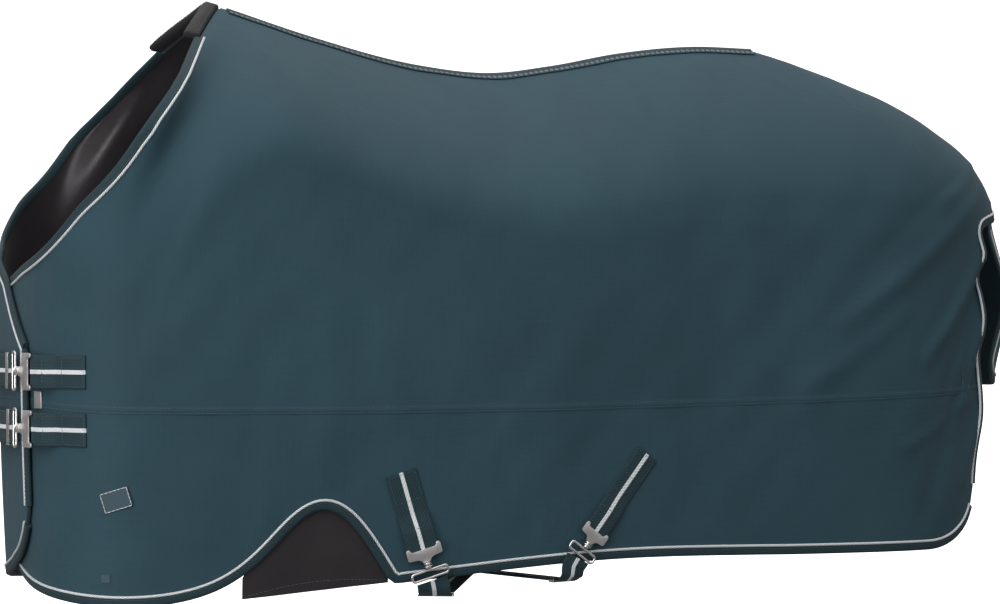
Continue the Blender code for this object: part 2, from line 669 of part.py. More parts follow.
def make_chest():
    """Two chest fastenings: near patch strap, fastener, and the cross strap sewn on the right flap."""
    width = CHEST_STRAP_WIDTH
    flat = SHELL_OUT + GAP
    clear = FLAP_LIFT + BINDING + STUD_RADIUS + 2 * GAP
    up = np.array([0, 0, 1.0])
    for name, height in CHEST_STRAP_HEIGHTS.items():
        seat = patch(f"chest_{name}_patch_strap", [(0.70, height), (0.44, height)], width, "left", flat,
                     clear - WEBBING - PLATE / 2 - GAP)
        end, way, _ = seat
        direction = way * [0.6, 1, 0]
        direction /= np.linalg.norm(direction)
        normal = np.cross(up, direction)
        seat = (end + normal * 2 * GAP, direction, normal)
        begin = fastener(f"chest_{name}", "chest", seat, width, CHEST_PLATE_LENGTH)
        controls = [(begin + direction * (GAP + d), up) for d in STRAIGHT]
        adjuster(f"chest_{name}", begin + direction * ADJUSTER_PLACE, direction, normal, width)
        for s in np.arange(0.14, 0.73, 0.04):
            spot, _, out = surface_frame(s, height, "right")
            sewn = flap_lift(s) + flat + 4 * GAP + WEBBING / 2
            loose = np.interp(s, [0.14, 0.42], [clear + 0.004, sewn])
            controls.append((spot + out * max(loose, sewn), up))
        strap_along(f"chest_{name}_cross_strap", controls, 40, width)
    middle = sum(CHEST_STRAP_HEIGHTS.values()) / 2
    side = (CHEST_STRAP_HEIGHTS["upper"] - CHEST_STRAP_HEIGHTS["lower"] - width) / 2 - 0.005
    point, along, out = surface_frame(0.425, middle)
    clasp = add("chest_clasp_plate", box_mesh("clasp", (-0.013, -side, 0), (0.013, side, PLATE)), "metal")
    place_at(clasp, point + out * flat, -along, out)


def make_surcingles():
    """Patch straps on both sides, and two belly straps that cross from left to right."""
    widths = {"front": FRONT_STRAP_WIDTH, "rear": REAR_STRAP_WIDTH}
    flat = SHELL_OUT + GAP
    clear = BINDING + STUD_RADIUS + 2 * GAP
    starts, ends = {}, {}
    for name, spots in SURCINGLES.items():
        places = [(1 + x - FRONT_X, z) for x, z in spots]
        width = widths[name]
        near = patch(f"surcingle_{name}_patch_left", places, width, "left", flat,
                     clear - WEBBING - PLATE / 2 - GAP)
        far = patch(f"surcingle_{name}_patch_right", places, width, "right", flat, BINDING + 6 * GAP)
        begin = fastener(f"belly_{name}", "belly", near, width, BELLY_PLATE_LENGTH)
        starts[name] = (begin, near[1], np.cross(near[2], near[1]))
        end, way, out = far
        ends[name] = (end - out * WEBBING / 2 + way * GAP * 2, way, np.cross(way, out))
    for name, other in (("front", "rear"), ("rear", "front")):
        begin, way, first_across = starts[name]
        end, far_way, last_across = ends[other]
        inward = (end - begin) * [1, 1, 0]
        inward /= np.linalg.norm(inward)
        flat_across = np.cross([0, 0, 1.0], inward)
        first_across = first_across * np.sign(first_across @ flat_across)
        last_across = last_across * np.sign(last_across @ flat_across)
        sag = np.array([0, 0, BELLY_SAG[name]])
        turn = (begin + way * 0.012 + inward * 0.012) * [1, 1, 0] + sag
        far_turn = (end + far_way * 0.06 - inward * 0.012) * [1, 1, 0] + sag
        controls = [(begin + way * 0.003, first_across), (begin + way * 0.009 + inward * 0.001, first_across)]
        span = np.linalg.norm(far_turn - turn)
        for d in STRAIGHT + (span * 0.35, span * 0.5, span * 0.65, span * 0.85):
            controls.append((turn + inward * d, flat_across))
        out = np.cross(last_across, far_way)
        out = out * np.sign(out[1])
        controls += [(far_turn, flat_across), (end + far_way * 0.042 + out * 0.006, last_across),
                     (end + far_way * 0.02 + out * 0.002, last_across), (end, last_across)]
        adjuster(f"belly_{name}", turn + inward * ADJUSTER_PLACE, inward, np.array([0, 0, -1.0]), widths[name])
        strap_along(f"belly_strap_{name}", controls, 52, widths[name])


def make_labels():
    point, along, out = surface_frame(0.80, -0.658)
    label = add("label", box_mesh("label", (-0.022, -0.015, 0), (0.022, 0.015, 0.001)), "label")
    place_at(label, point + out * (SHELL_OUT + 0.0004), along + np.array([0, 0, 0.3]), out)
    point, along, out = surface_frame(0.76, -0.775)
    tag = add("size_tag", box_mesh("tag", (-0.007, -0.006, 0), (0.007, 0.006, 0.001)), "label")
    place_at(tag, point + out * (SHELL_OUT + GAP), along, out)


def main():
    halves = {side: make_cloth(side) for side in ("left", "right")}
    make_wither_pad(halves)
    make_spine_tape(halves)
    for side in halves:
        make_gusset(side)
    make_tail_flap(halves)
    make_chest()
    make_surcingles()
    make_labels()


main()
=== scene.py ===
"""Looks of the turnout rug: fine cloth, bindings, piping, webbing, stitching and metal over the CAD frame."""
import math

import bmesh
import bpy
import numpy as np
from mathutils import Matrix, Vector


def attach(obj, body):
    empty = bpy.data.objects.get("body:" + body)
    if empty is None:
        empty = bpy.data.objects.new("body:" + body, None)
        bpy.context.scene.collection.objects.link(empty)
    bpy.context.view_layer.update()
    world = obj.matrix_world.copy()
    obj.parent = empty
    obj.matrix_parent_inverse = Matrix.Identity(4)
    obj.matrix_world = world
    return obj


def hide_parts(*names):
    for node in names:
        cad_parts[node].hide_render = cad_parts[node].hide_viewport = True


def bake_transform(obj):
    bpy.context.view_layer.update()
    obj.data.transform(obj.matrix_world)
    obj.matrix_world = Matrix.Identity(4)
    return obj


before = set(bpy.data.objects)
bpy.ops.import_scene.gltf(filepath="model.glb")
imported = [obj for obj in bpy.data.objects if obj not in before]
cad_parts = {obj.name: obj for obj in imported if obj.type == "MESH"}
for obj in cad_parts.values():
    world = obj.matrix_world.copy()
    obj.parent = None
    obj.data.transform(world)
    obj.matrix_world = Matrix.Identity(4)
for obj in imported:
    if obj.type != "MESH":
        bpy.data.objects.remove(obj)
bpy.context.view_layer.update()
SIDES = ("left", "right")
BODY = "rug"  # the body that carries all the cloth but the tail flap
MIRROR, ON_RIDGE, IN_PLAN, UP = (np.array(v) for v in ([1, -1, 1], [1, 0, 1], [1, 1, 0], [0, 0, 1.0]))

# ---- The cloth's surface: the same driving values and curves as the CAD model ----------
FRONT_X, REAR_X = -0.515, 0.46
CHEST_REACH, RUMP_REACH = 0.262, 0.415
HALF_WIDTH, RUMP_HALF_WIDTH = 0.32, 0.28
CHEST_SQUARENESS, RUMP_SQUARENESS = 3.2, 2.2
SPINE = [(-0.515, 0.115), (-0.45, 0.096), (-0.304, 0.052), (-0.123, 0.010), (0.0, 0.0), (0.107, 0.014),
         (0.228, 0.038), (0.357, 0.052), (0.46, 0.051)]
ROOF_DROP = [(-0.515, 0.21), (0.0, 0.26), (0.46, 0.30)]
ROOF_ROUNDNESS = [(-0.515, 1.6), (0.0, 1.8), (0.46, 2.4)]
NECK_EDGE = [(0.0, -0.335), (0.19, -0.305), (0.65, -0.215), (0.87, -0.118), (0.955, -0.035), (1.0, 0.035)]
NECK_TOP_HALF_WIDTH, LEFT_NECK_DROP = 0.143, 0.030
SEAM_HEIGHT, SEAM_SAG = -0.508, 0.02
HEM = [(-0.1, -0.762), (0.15, -0.785), (0.5, -0.802), (1.0, -0.806), (1.2, -0.79), (1.6, -0.758),
       (1.975, -0.760), (2.5, -0.762)]
REAR_EDGE_ANGLE, REAR_CORNER = 40.0, 0.09
ARCH_CENTRE_X, ARCH_HALF_WIDTH, ARCH_HEIGHT, ARCH_STEPS = -0.372, 0.121, 0.130, 6
SPINE_FRONT_X = ARCH_CENTRE_X - ARCH_HALF_WIDTH + 2 * ARCH_HALF_WIDTH / ARCH_STEPS
FIRST = {"left": -0.10, "right": -0.33}
FLAP_DROP = 0.10
LINING, SHELL, BINDING_WIDTH, BINDING, WEBBING, GAP = 0.002, 0.004, 0.008, 0.0075, 0.0025, 0.0003
SHELL_IN = LINING + GAP
SHELL_OUT = SHELL_IN + SHELL
FLAP_LIFT = BINDING + 5 * GAP
SIDE_LENGTH, REAR_TURN = REAR_X - FRONT_X, 0.5
END = 1 + SIDE_LENGTH + REAR_TURN
TAIL_FLAP_ANGLE, TAIL_FLAP_DROP, TAIL_FLAP_STANDOFF = 30.0, 0.25, 0.026
UPPER_ROWS, LOWER_ROWS = 60, 30
FRONT_COLUMNS, SIDE_COLUMNS, REAR_COLUMNS = 60, 120, 44


def through(points, at):
    """A smooth curve (cubic Hermite with mean slopes) through points, read at one place."""
    xs, ys = np.array(points, float).T
    slopes = np.gradient(ys, xs)
    i = int(np.clip(np.searchsorted(xs, at) - 1, 0, len(xs) - 2))
    h = xs[i + 1] - xs[i]
    t = float(np.clip((at - xs[i]) / h, 0, 1))
    a, b = (2 * t**3 - 3 * t**2 + 1), (t**3 - 2 * t**2 + t)
    c, d = (-2 * t**3 + 3 * t**2), (t**3 - t**2)
    return a * ys[i] + b * h * slopes[i] + c * ys[i + 1] + d * h * slopes[i + 1]


def clamp(value, low=0.0, high=1.0):
    return min(max(value, low), high)


def ease(t):
    t = np.clip(t, 0, 1)
    return t * t * (3 - 2 * t)


def share(depth, roundness):
    """Share of the full width that the roof has at a depth of 0 to 1. depth_at is its inverse."""
    return 1 - (1 - clamp(depth)) ** roundness


def depth_at(width, roundness):
    return 1 - (1 - min(width, 1.0)) ** (1 / roundness)


def chest_plan(m):
    angle = math.radians(90) * abs(m) ** (CHEST_SQUARENESS / 2)
    x = FRONT_X - CHEST_REACH * math.cos(angle) ** (2 / CHEST_SQUARENESS)
    return x, math.copysign(HALF_WIDTH * math.sin(angle) ** (2 / CHEST_SQUARENESS), m)


def half_width(x):
    narrowing = ease(((x - FRONT_X) / SIDE_LENGTH - 0.4) / 0.6)
    return HALF_WIDTH + (RUMP_HALF_WIDTH - HALF_WIDTH) * narrowing


def rump_plan(degrees, scale=1.0):
    angle, power = math.radians(degrees), 2 / RUMP_SQUARENESS
    x = REAR_X + RUMP_REACH * max(math.cos(angle), 0) ** power * scale
    return x, math.copysign(RUMP_HALF_WIDTH * abs(math.sin(angle)) ** power * scale, angle)


def taper(z):
    """The wall draws in a little towards the hem."""
    return 1 - 0.05 * clamp((-z - 0.35) / 0.45) ** 2


def plan(s):
    """Outline in plan: s is 0..1 round the chest, then metres of side, then the rump."""
    if s <= 1:
        return chest_plan(s)
    if s <= 1 + SIDE_LENGTH:
        return FRONT_X + s - 1, half_width(FRONT_X + s - 1)
    return rump_plan(90 - (90 - REAR_EDGE_ANGLE) * (s - 1 - SIDE_LENGTH) / REAR_TURN)


def wall(s, z):
    x, y = plan(s)
    k = taper(z)
    centre = FRONT_X if s <= 1 else min(x, REAR_X)
    return np.array([centre + (x - centre) * k, -y * k, z])


def hem_height(s, arch=True):
    z = through(HEM, s)
    x = FRONT_X + s - 1
    if arch and abs(x - ARCH_CENTRE_X) < ARCH_HALF_WIDTH and s > 1:
        z += ARCH_HEIGHT * math.cos(math.pi / 2 * (x - ARCH_CENTRE_X) / ARCH_HALF_WIDTH)
    return z + REAR_CORNER * (1 - math.sqrt(1 - clamp((s - END + 0.2) / 0.2) ** 2))


def neck_height(m, side):
    if m < 0:
        return NECK_EDGE[0][1] - FLAP_DROP * abs(m) / abs(FIRST["right"])
    drop = LEFT_NECK_DROP * math.sin(math.pi * min(m, 1)) if side == "left" else 0
    return through(NECK_EDGE, m) - drop


def seam_height(s):
    return SEAM_HEIGHT - SEAM_SAG * math.sin(math.pi * clamp(s / END))


def column(s, side="right"):
    """Points down the left half at s, from its upper edge to the seam."""
    steps, points = np.linspace(0, 1, 60), []
    if s <= 1:
        x, y = chest_plan(s)
        for z in neck_height(s, side) + (seam_height(s) - neck_height(s, side)) * steps:
            k = share((SPINE[0][1] - 0.015 - z) / ROOF_DROP[0][1], ROOF_ROUNDNESS[0][1]) * taper(z)
            points.append((FRONT_X + (x - FRONT_X) * k, -y * k, z))
        return np.array(points)
    if s <= 1 + SIDE_LENGTH:
        x = FRONT_X + s - 1
        roundness, drop, top = through(ROOF_ROUNDNESS, x), through(ROOF_DROP, x), through(SPINE, x)
        opened = clamp((SPINE_FRONT_X - x) / (SPINE_FRONT_X - FRONT_X))
        first = max(opened * NECK_TOP_HALF_WIDTH / HALF_WIDTH, 0.001)
        top -= 0.015 * opened
        for k in first + (1 - first) * steps:
            points.append((x, -half_width(x) * k, top - drop * depth_at(k, roundness)))
    else:
        part = (s - 1 - SIDE_LENGTH) / REAR_TURN
        k_spine, end_angle = 0.992 * part, 90 - (90 - REAR_EDGE_ANGLE) * part
        start_point = np.array([REAR_X + RUMP_REACH * k_spine, 0.001 * HALF_WIDTH])
        end_point = np.array(rump_plan(end_angle))
        for q in steps:
            chord = start_point + (end_point - start_point) * q
            round_way = np.array(rump_plan(end_angle * q, k_spine + (1 - k_spine) * q))
            x, y = chord + (round_way - chord) * part
            y = max(y, 0.001 * HALF_WIDTH)
            across, along = y / RUMP_HALF_WIDTH, max(x - REAR_X, 0) / RUMP_REACH
            k = (across**RUMP_SQUARENESS + along**RUMP_SQUARENESS) ** (1 / RUMP_SQUARENESS)
            points.append((x, -y, SPINE[-1][1] - ROOF_DROP[-1][1] * depth_at(k, ROOF_ROUNDNESS[-1][1])))
    for z in np.linspace(points[-1][2], seam_height(s), 40)[1:]:
        points.append(tuple(wall(s, z)))
    return np.array(points)


def distances(points):
    """Distance along a path to each of its points."""
    return np.r_[0, np.cumsum(np.linalg.norm(np.diff(points, axis=0), axis=1))]


def read(values, run, at):
    """Vectors that go with the distances run, read at other distances."""
    return np.array([np.interp(at, run, values[:, i]) for i in range(3)]).T


def unit(vectors):
    return vectors / np.linalg.norm(vectors, axis=-1, keepdims=True)


def evenly(points, count):
    """The path again, with evenly spaced points."""
    run = distances(points)
    return read(points, run, np.linspace(0, run[-1], count))


def flap_lift(s):
    """How far the right chest flap stands off, because it lies over the left one."""
    return FLAP_LIFT * ease((0.35 - s) / 0.2)


def normals_of(grid):
    """Outward unit normals of a grid whose first index runs to the tail and second runs down."""
    return unit(np.cross(np.gradient(grid, axis=1), np.gradient(grid, axis=0)))


# ---- Folds: how the cloth hangs --------------------------------------------------------
# Each fold runs between two (along, height) places on the side, with its half width and height.
FOLDS = [
    # the long pulls from the tail corner down towards the flank
    ((0.83, -0.21), (0.66, -0.46), 0.012, 0.0137), ((0.83, -0.25), (0.70, -0.52), 0.009, -0.0095),
    ((0.81, -0.27), (0.72, -0.58), 0.010, 0.0106), ((0.80, -0.18), (0.50, -0.40), 0.016, 0.0095),
    ((0.81, -0.36), (0.75, -0.66), 0.012, 0.0085), ((0.74, -0.16), (0.56, -0.30), 0.011, -0.0064),
    ((0.78, -0.45), (0.66, -0.72), 0.016, -0.0085), ((0.76, -0.52), (0.62, -0.60), 0.010, 0.0064),
    ((0.62, -0.38), (0.44, -0.50), 0.014, 0.0064), ((0.80, -0.14), (0.70, -0.20), 0.009, 0.0074),
    # fans under the spine tape
    ((0.10, 0.00), (0.02, -0.11), 0.007, 0.0018), ((0.15, 0.01), (0.11, -0.10), 0.006, -0.0016),
    ((0.21, 0.02), (0.19, -0.09), 0.007, 0.0020), ((0.27, 0.03), (0.28, -0.10), 0.006, 0.0016),
    ((0.33, 0.03), (0.39, -0.09), 0.007, -0.0018), ((0.42, 0.03), (0.50, -0.08), 0.008, 0.0022),
    ((0.50, 0.03), (0.58, -0.06), 0.007, 0.0018),
    # soft hanging folds of the barrel and over the leg arch
    ((-0.36, -0.34), (-0.37, -0.66), 0.030, 0.0040), ((-0.44, -0.40), (-0.50, -0.78), 0.026, -0.0040),
    ((-0.28, -0.36), (-0.25, -0.74), 0.026, 0.0035), ((-0.10, -0.40), (-0.13, -0.74), 0.045, -0.0030),
    ((0.07, -0.34), (-0.04, -0.60), 0.040, 0.0030), ((0.30, -0.36), (0.22, -0.73), 0.045, -0.0030),
    ((0.46, -0.40), (0.40, -0.74), 0.040, 0.0035), ((0.60, -0.48), (0.54, -0.74), 0.030, -0.0035),
    # the shoulder and the chest
    ((-0.50, -0.06), (-0.60, -0.34), 0.022, 0.0030), ((-0.56, -0.20), (-0.66, -0.48), 0.014, -0.0022),
    ((-0.72, -0.50), (-0.52, -0.53), 0.008, 0.0018), ((-0.70, -0.62), (-0.56, -0.74), 0.018, 0.0035),
    ((-0.64, -0.53), (-0.57, -0.78), 0.020, -0.0035), ((-0.62, -0.44), (-0.48, -0.50), 0.010, 0.0015),
]


def fold_height(grid, seed):
    """Outward push of the folds at each point, with small uneven waves on top."""
    along, height = grid[..., 0], grid[..., 2]
    push = np.zeros(along.shape)
    for (x0, z0), (x1, z1), width, size in FOLDS:
        dx, dz = x1 - x0, z1 - z0
        t = np.clip(((along - x0) * dx + (height - z0) * dz) / (dx * dx + dz * dz), 0, 1)
        bend = 0.012 * np.sin(math.pi * t) * (1 if size > 0 else -1)
        away = np.hypot(along - x0 - dx * t - bend, height - z0 - dz * t)
        fade = np.sin(math.pi * (0.12 + 0.76 * t))
        push += size * fade * np.exp(-(away / width) ** 2)
    random = np.random.default_rng(seed)
    for _ in range(26):
        angle, wave = random.uniform(-0.9, 0.9), random.uniform(0.05, 0.22)
        phase, size = random.uniform(0, 6.3), random.uniform(0.0001, 0.0004)
        across = along * math.cos(angle) + height * math.sin(angle)
        push += size * np.sin(2 * math.pi * across / wave + phase)
    return push


def smooth_joints(grid, places):
    """Rounds the cloth where the chest, the side and the rump meet."""
    weight = np.zeros(len(places))
    for joint in (1.0, 1 + SIDE_LENGTH):
        weight = np.maximum(weight, ease(1 - np.abs(places - joint) / 0.22))
    weight[[0, -1]] = 0
    weight = weight[:, None] * ease((np.arange(grid.shape[1]) - 1) / 16)[None, :]
    for _ in range(60):
        mean = grid.copy()
        mean[1:-1] = (grid[:-2] + 2 * grid[1:-1] + grid[2:]) / 4
        grid = grid + (mean - grid) * weight[..., None]
    return grid


def flap_corner(s):
    """How much the hem rises towards the front corner of the right chest flap."""
    return 0.10 * (1 - math.sqrt(1 - clamp((-s - 0.02) / 0.315) ** 2))


def cloth_half(side):
    """Base grid, base normals, folds and places of one half of the rug."""
    first = FIRST[side]
    places = np.concatenate([
        np.linspace(first, 1, FRONT_COLUMNS),
        np.linspace(1, 1 + SIDE_LENGTH, SIDE_COLUMNS + 1)[1:],
        np.linspace(1 + SIDE_LENGTH, END, REAR_COLUMNS + 1)[1:]])
    columns = []
    for s in places:
        upper = evenly(column(s, side), UPPER_ROWS + 1)
        seam, low = seam_height(s), hem_height(s) + flap_corner(s)
        lower = [wall(s, seam + (low - seam) * r / LOWER_ROWS) for r in range(1, LOWER_ROWS + 1)]
        columns.append(np.vstack([upper, lower]))
    grid = smooth_joints(np.array(columns), places)
    normals = normals_of(grid)
    # the folds fade out at the upper edge and the chest and to a third at the hem; deep dents are halved
    folds = fold_height(grid, 3 if side == "left" else 8)
    rows = np.arange(grid.shape[1])
    folds *= (ease(rows / 5) * (0.35 + 0.65 * ease((grid.shape[1] - 1 - rows) / 8)))[None, :]
    folds = np.where(folds < -0.001, -0.001 + (folds + 0.001) * 0.5, folds)
    folds *= ease((places - 0.15) / 0.3)[:, None]
    lift = np.array([flap_lift(s) for s in places]) if side == "right" else np.zeros(len(places))
    grid = grid + normals * lift[:, None, None]
    if side == "right":
        grid, normals = grid * MIRROR, normals * MIRROR
    return grid, normals, folds, places


# ---- Meshes ----------------------------------------------------------------------------
def add_object(name, data):
    made = bpy.data.objects.new(name, data)
    bpy.context.scene.collection.objects.link(made)
    return made


def add_mesh(name, points, faces, material, uv=None, body=BODY, slot="shell"):
    mesh = bpy.data.meshes.new(name)
    mesh.from_pydata([tuple(p) for p in np.asarray(points, float)], [], [tuple(f) for f in faces])
    mesh.validate()
    if uv is not None:
        layer = mesh.uv_layers.new(name="UVMap")
        loops = np.zeros(len(mesh.loops), int)
        mesh.loops.foreach_get("vertex_index", loops)
        layer.data.foreach_set("uv", np.asarray(uv, float)[loops].ravel())
    mesh.shade_smooth()
    mesh.set_sharp_from_angle(angle=math.radians(50))
    piece = add_object(name, mesh)
    mesh.materials.append(material)
    if body is not None:
        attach(piece, body)
    return piece


def shaped_mesh(piece):
    """A new mesh of the piece as its modifiers shape it. The modifiers are removed."""
    mesh = bpy.data.meshes.new_from_object(piece.evaluated_get(bpy.context.evaluated_depsgraph_get()))
    piece.modifiers.clear()
    return mesh


def bevel(piece, width, segments):
    """Rounds a solid piece's edges and keeps the result in its mesh."""
    modifier = piece.modifiers.new("bevel", "BEVEL")
    modifier.width, modifier.segments, modifier.limit_method = width, segments, "ANGLE"
    modifier.angle_limit = math.radians(35)
    bpy.context.view_layer.update()
    mesh = shaped_mesh(piece)
    piece.data = mesh
    mesh.shade_smooth()
    mesh.set_sharp_from_angle(angle=math.radians(40))


def add_solid(name, points, faces, material, node=None, rounding=None, weld=False, **more):
    """A closed mesh, faces outwards. It may be welded, bevelled by (width, segments) and replace a node."""
    piece = add_mesh(name, points, faces, material, **more)
    mesh = bmesh.new()
    mesh.from_mesh(piece.data)
    if weld:
        bmesh.ops.remove_doubles(mesh, verts=mesh.verts, dist=0.00001)
    bmesh.ops.recalc_face_normals(mesh, faces=mesh.faces)
    if mesh.calc_volume(signed=True) < 0:
        bmesh.ops.reverse_faces(mesh, faces=mesh.faces)
    mesh.to_mesh(piece.data)
    mesh.free()
    if rounding:
        bevel(piece, *rounding)
    if node:
        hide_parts(node)
    return piece


def grid_faces(n, m, start=0, flip=False, wrap=False):
    """Quads of a grid of n by m points that begins at index start; wrap joins the last row of points."""
    faces = []
    for i in range(n - 1):
        for j in range(m if wrap else m - 1):
            a, b = start + i * m + j, start + i * m + (j + 1) % m
            faces.append((a, b, b + m, a + m) if flip else (a, a + m, b + m, b))
    return faces


def tube_faces(n, m):
    """Faces of n rings of m points each, closed at both ends."""
    return grid_faces(n, m, wrap=True) + [tuple(range(m)), tuple(range(n * m - 1, (n - 1) * m - 1, -1))]


def sheet(name, inner, outer, material, **more):
    """A closed thin sheet between two grids, with texture coordinates in metres."""
    n, m = inner.shape[:2]
    u, v = np.meshgrid(distances(outer[:, m // 2]), distances(outer[n // 2]), indexing="ij")
    uv = np.stack([u.ravel(), v.ravel()], axis=1)
    corner = outer[0, 0]
    flip = np.cross(outer[1, 0] - corner, outer[0, 1] - corner) @ (corner - inner[0, 0]) < 0
    faces = grid_faces(n, m, 0, flip=not flip) + grid_faces(n, m, n * m, flip=flip)
    rim = [i * m for i in range(n)] + [(n - 1) * m + j for j in range(1, m)]
    rim += [i * m + m - 1 for i in range(n - 2, -1, -1)] + list(range(m - 2, 0, -1))
    for a, b in zip(rim, rim[1:] + rim[:1]):
        face = (a, b, b + n * m, a + n * m)
        faces.append(face if flip else face[::-1])
    points = np.vstack([outer.reshape(-1, 3), inner.reshape(-1, 3)])
    return add_mesh(name, points, faces, material, uv=np.vstack([uv, uv]), **more)


def swept(name, path, side, up, profile, material, closed=False, flat=False, **more):
    """A closed profile of (side, up) points swept along a path. The texture runs round the profile, or
    straight across it when flat."""
    profile = np.array(profile, float)
    sideways, upwards = profile[None, :, :1], profile[None, :, 1:]
    rings = path[:, None] + side[:, None] * sideways + up[:, None] * upwards
    if closed:
        rings = np.concatenate([rings, rings[:1]])
    n, m = rings.shape[:2]
    run, width = (path, profile[:, 0]) if flat else (rings[:, 0], distances(profile))
    u, v = np.meshgrid(distances(run), width, indexing="ij")
    faces = grid_faces(n, m, wrap=True) if closed else tube_faces(n, m)
    return add_solid(name, rings.reshape(-1, 3), faces, material, weld=closed,
                     uv=np.stack([u.ravel(), v.ravel()], axis=1), **more)


def placed(points, place):
    return np.asarray(points, float) @ place[:3, :3].T + place[:3, 3]


def ring(name, outline, height, place, profile, material, **more):
    """A profile swept round a flat closed outline that lies in the frame place."""
    path = np.c_[outline, np.full(len(outline), height)]
    closed = np.vstack([path[-1:], path, path[:1]])
    side = np.cross(unit(closed[2:] - closed[:-2]), UP)
    up = np.tile(UP, (len(path), 1))
    spin = place[:3, :3].T
    return swept(name, placed(path, place), side @ spin, up @ spin, profile, material, closed=True, **more)


def rounded_box(x0, x1, y0, y1, corner, steps):
    """Outline of a rectangle with rounded corners."""
    centres = ((x1 - corner, y1 - corner), (x0 + corner, y1 - corner),
               (x0 + corner, y0 + corner), (x1 - corner, y0 + corner))
    points = []
    for k, (x, y) in enumerate(centres):
        for i in range(steps + 1):
            angle = math.pi / 2 * (k + i / steps)
            points.append((x + corner * math.cos(angle), y + corner * math.sin(angle)))
    return np.array(points)


def circle_profile(radius, steps=8):
    angles = [2 * math.pi * i / steps for i in range(steps)]
    return [(radius * math.cos(a), radius * math.sin(a)) for a in angles]


def edge_frame(edge, normals, inside):
    """Direction away from the cloth at each point of an edge."""
    out = unit(np.cross(normals, np.gradient(edge, axis=0)))
    return out * np.sign(np.einsum("ij,ij->i", out, edge - inside))[:, None]


def stitch_row(name, path, up, thread=0.00045, length=0.0042, pitch=0.0062):
    """A row of stitches: each one a short thread that dips into the cloth at both ends."""
    run = distances(path)
    points, faces = [], []
    for start in np.arange(pitch / 2, run[-1] - length, pitch):
        at = start + np.linspace(0, 1, 4) * length
        centre, normal = read(path, run, at), read(up, run, at)
        side = unit(np.cross(centre[-1] - centre[0], normal[1]))
        first = len(points)
        for k, rise in enumerate((-0.6, 0.7, 0.7, -0.6)):
            for turn in (0.25, 0.75, 1.25, 1.75):
                offset = side * math.cos(math.pi * turn) + normal[k] * (math.sin(math.pi * turn) + rise)
                points.append(centre[k] + offset * thread)
        faces += grid_faces(4, 4, first, flip=True, wrap=True)
        faces += [tuple(range(first + 3, first - 1, -1)), tuple(range(first + 12, first + 16))]
    return add_mesh(name, points, faces, THREAD, slot="trim")


# ---- Materials -------------------------------------------------------------------------
class Material:
    """A Principled material with short helpers for procedural detail."""

    def __init__(self, name, roughness=0.6, metallic=0.0, **constants):
        self.material = bpy.data.materials.new(name)
        self.material.use_nodes = True
        self.tree = self.material.node_tree
        self.shader = self.tree.nodes["Principled BSDF"]
        self.shader.inputs["Roughness"].default_value = roughness
        self.shader.inputs["Metallic"].default_value = metallic
        for socket, value in constants.items():
            self.shader.inputs[socket.replace("_", " ")].default_value = value
        self.height = None

    def node(self, kind, inputs=None, **settings):
        made = self.tree.nodes.new(kind)
        for key, value in settings.items():
            setattr(made, key, value)
        for key, value in (inputs or {}).items():
            if isinstance(value, bpy.types.NodeSocket):
                self.tree.links.new(value, made.inputs[key])
            else:
                made.inputs[key].default_value = value
        return made

    def link(self, source, socket):
        self.tree.links.new(source, self.shader.inputs[socket])

    def rough_by(self, factor, low, high):
        """Roughness from low to high as the factor goes from 0 to 1."""
        between = self.node("ShaderNodeMapRange", {"Value": factor, "To Min": low, "To Max": high})
        self.link(between.outputs[0], "Roughness")

    def over(self, base, factor, amount, colour):
        """The base with a colour mixed over it by the factor times amount."""
        return self.mix(self.maths("MULTIPLY", factor, amount), base, colour)

    def place(self, kind="Object"):
        return self.node("ShaderNodeTexCoord").outputs[kind]

    def scaled(self, vector, scale):
        return self.node("ShaderNodeMapping", {"Vector": vector, "Scale": scale}).outputs["Vector"]

    def noise(self, vector, scale, detail=3.0, roughness=0.55):
        return self.node("ShaderNodeTexNoise", {"Vector": vector, "Scale": scale, "Detail": detail,
                                                "Roughness": roughness}).outputs["Fac"]

    def wave(self, vector, scale, direction, profile="SIN", distortion=0.0):
        return self.node("ShaderNodeTexWave", {"Vector": vector, "Scale": scale, "Distortion": distortion},
                         bands_direction=direction, wave_profile=profile).outputs["Fac"]

    def maths(self, operation, a, b=0.5):
        return self.node("ShaderNodeMath", {0: a, 1: b}, operation=operation).outputs[0]

    def ramp(self, factor, stops):
        made = self.node("ShaderNodeValToRGB", {"Fac": factor})
        elements = made.color_ramp.elements
        while len(elements) < len(stops):
            elements.new(0.5)
        for element, (position, colour) in zip(elements, stops):
            element.position = position
            element.color = (*colour, 1.0)
        return made.outputs["Color"]

    def mix(self, factor, a, b, blend_type="MIX"):
        made = self.node("ShaderNodeMix", data_type="RGBA", blend_type=blend_type)
        for socket, value in ((made.inputs[0], factor), (made.inputs[6], a), (made.inputs[7], b)):
            if isinstance(value, bpy.types.NodeSocket):
                self.tree.links.new(value, socket)
            elif socket.type == "RGBA":
                socket.default_value = (*value, 1.0)
            else:
                socket.default_value = value
        return made.outputs[2]

    def bump(self, height, strength, distance):
        inputs = {"Height": height, "Strength": strength, "Distance": distance}
        if self.height is not None:
            inputs["Normal"] = self.height
        self.height = self.node("ShaderNodeBump", inputs).outputs["Normal"]
        self.link(self.height, "Normal")


def tint(colour, factor):
    return tuple(min(c * factor, 1.0) for c in colour)


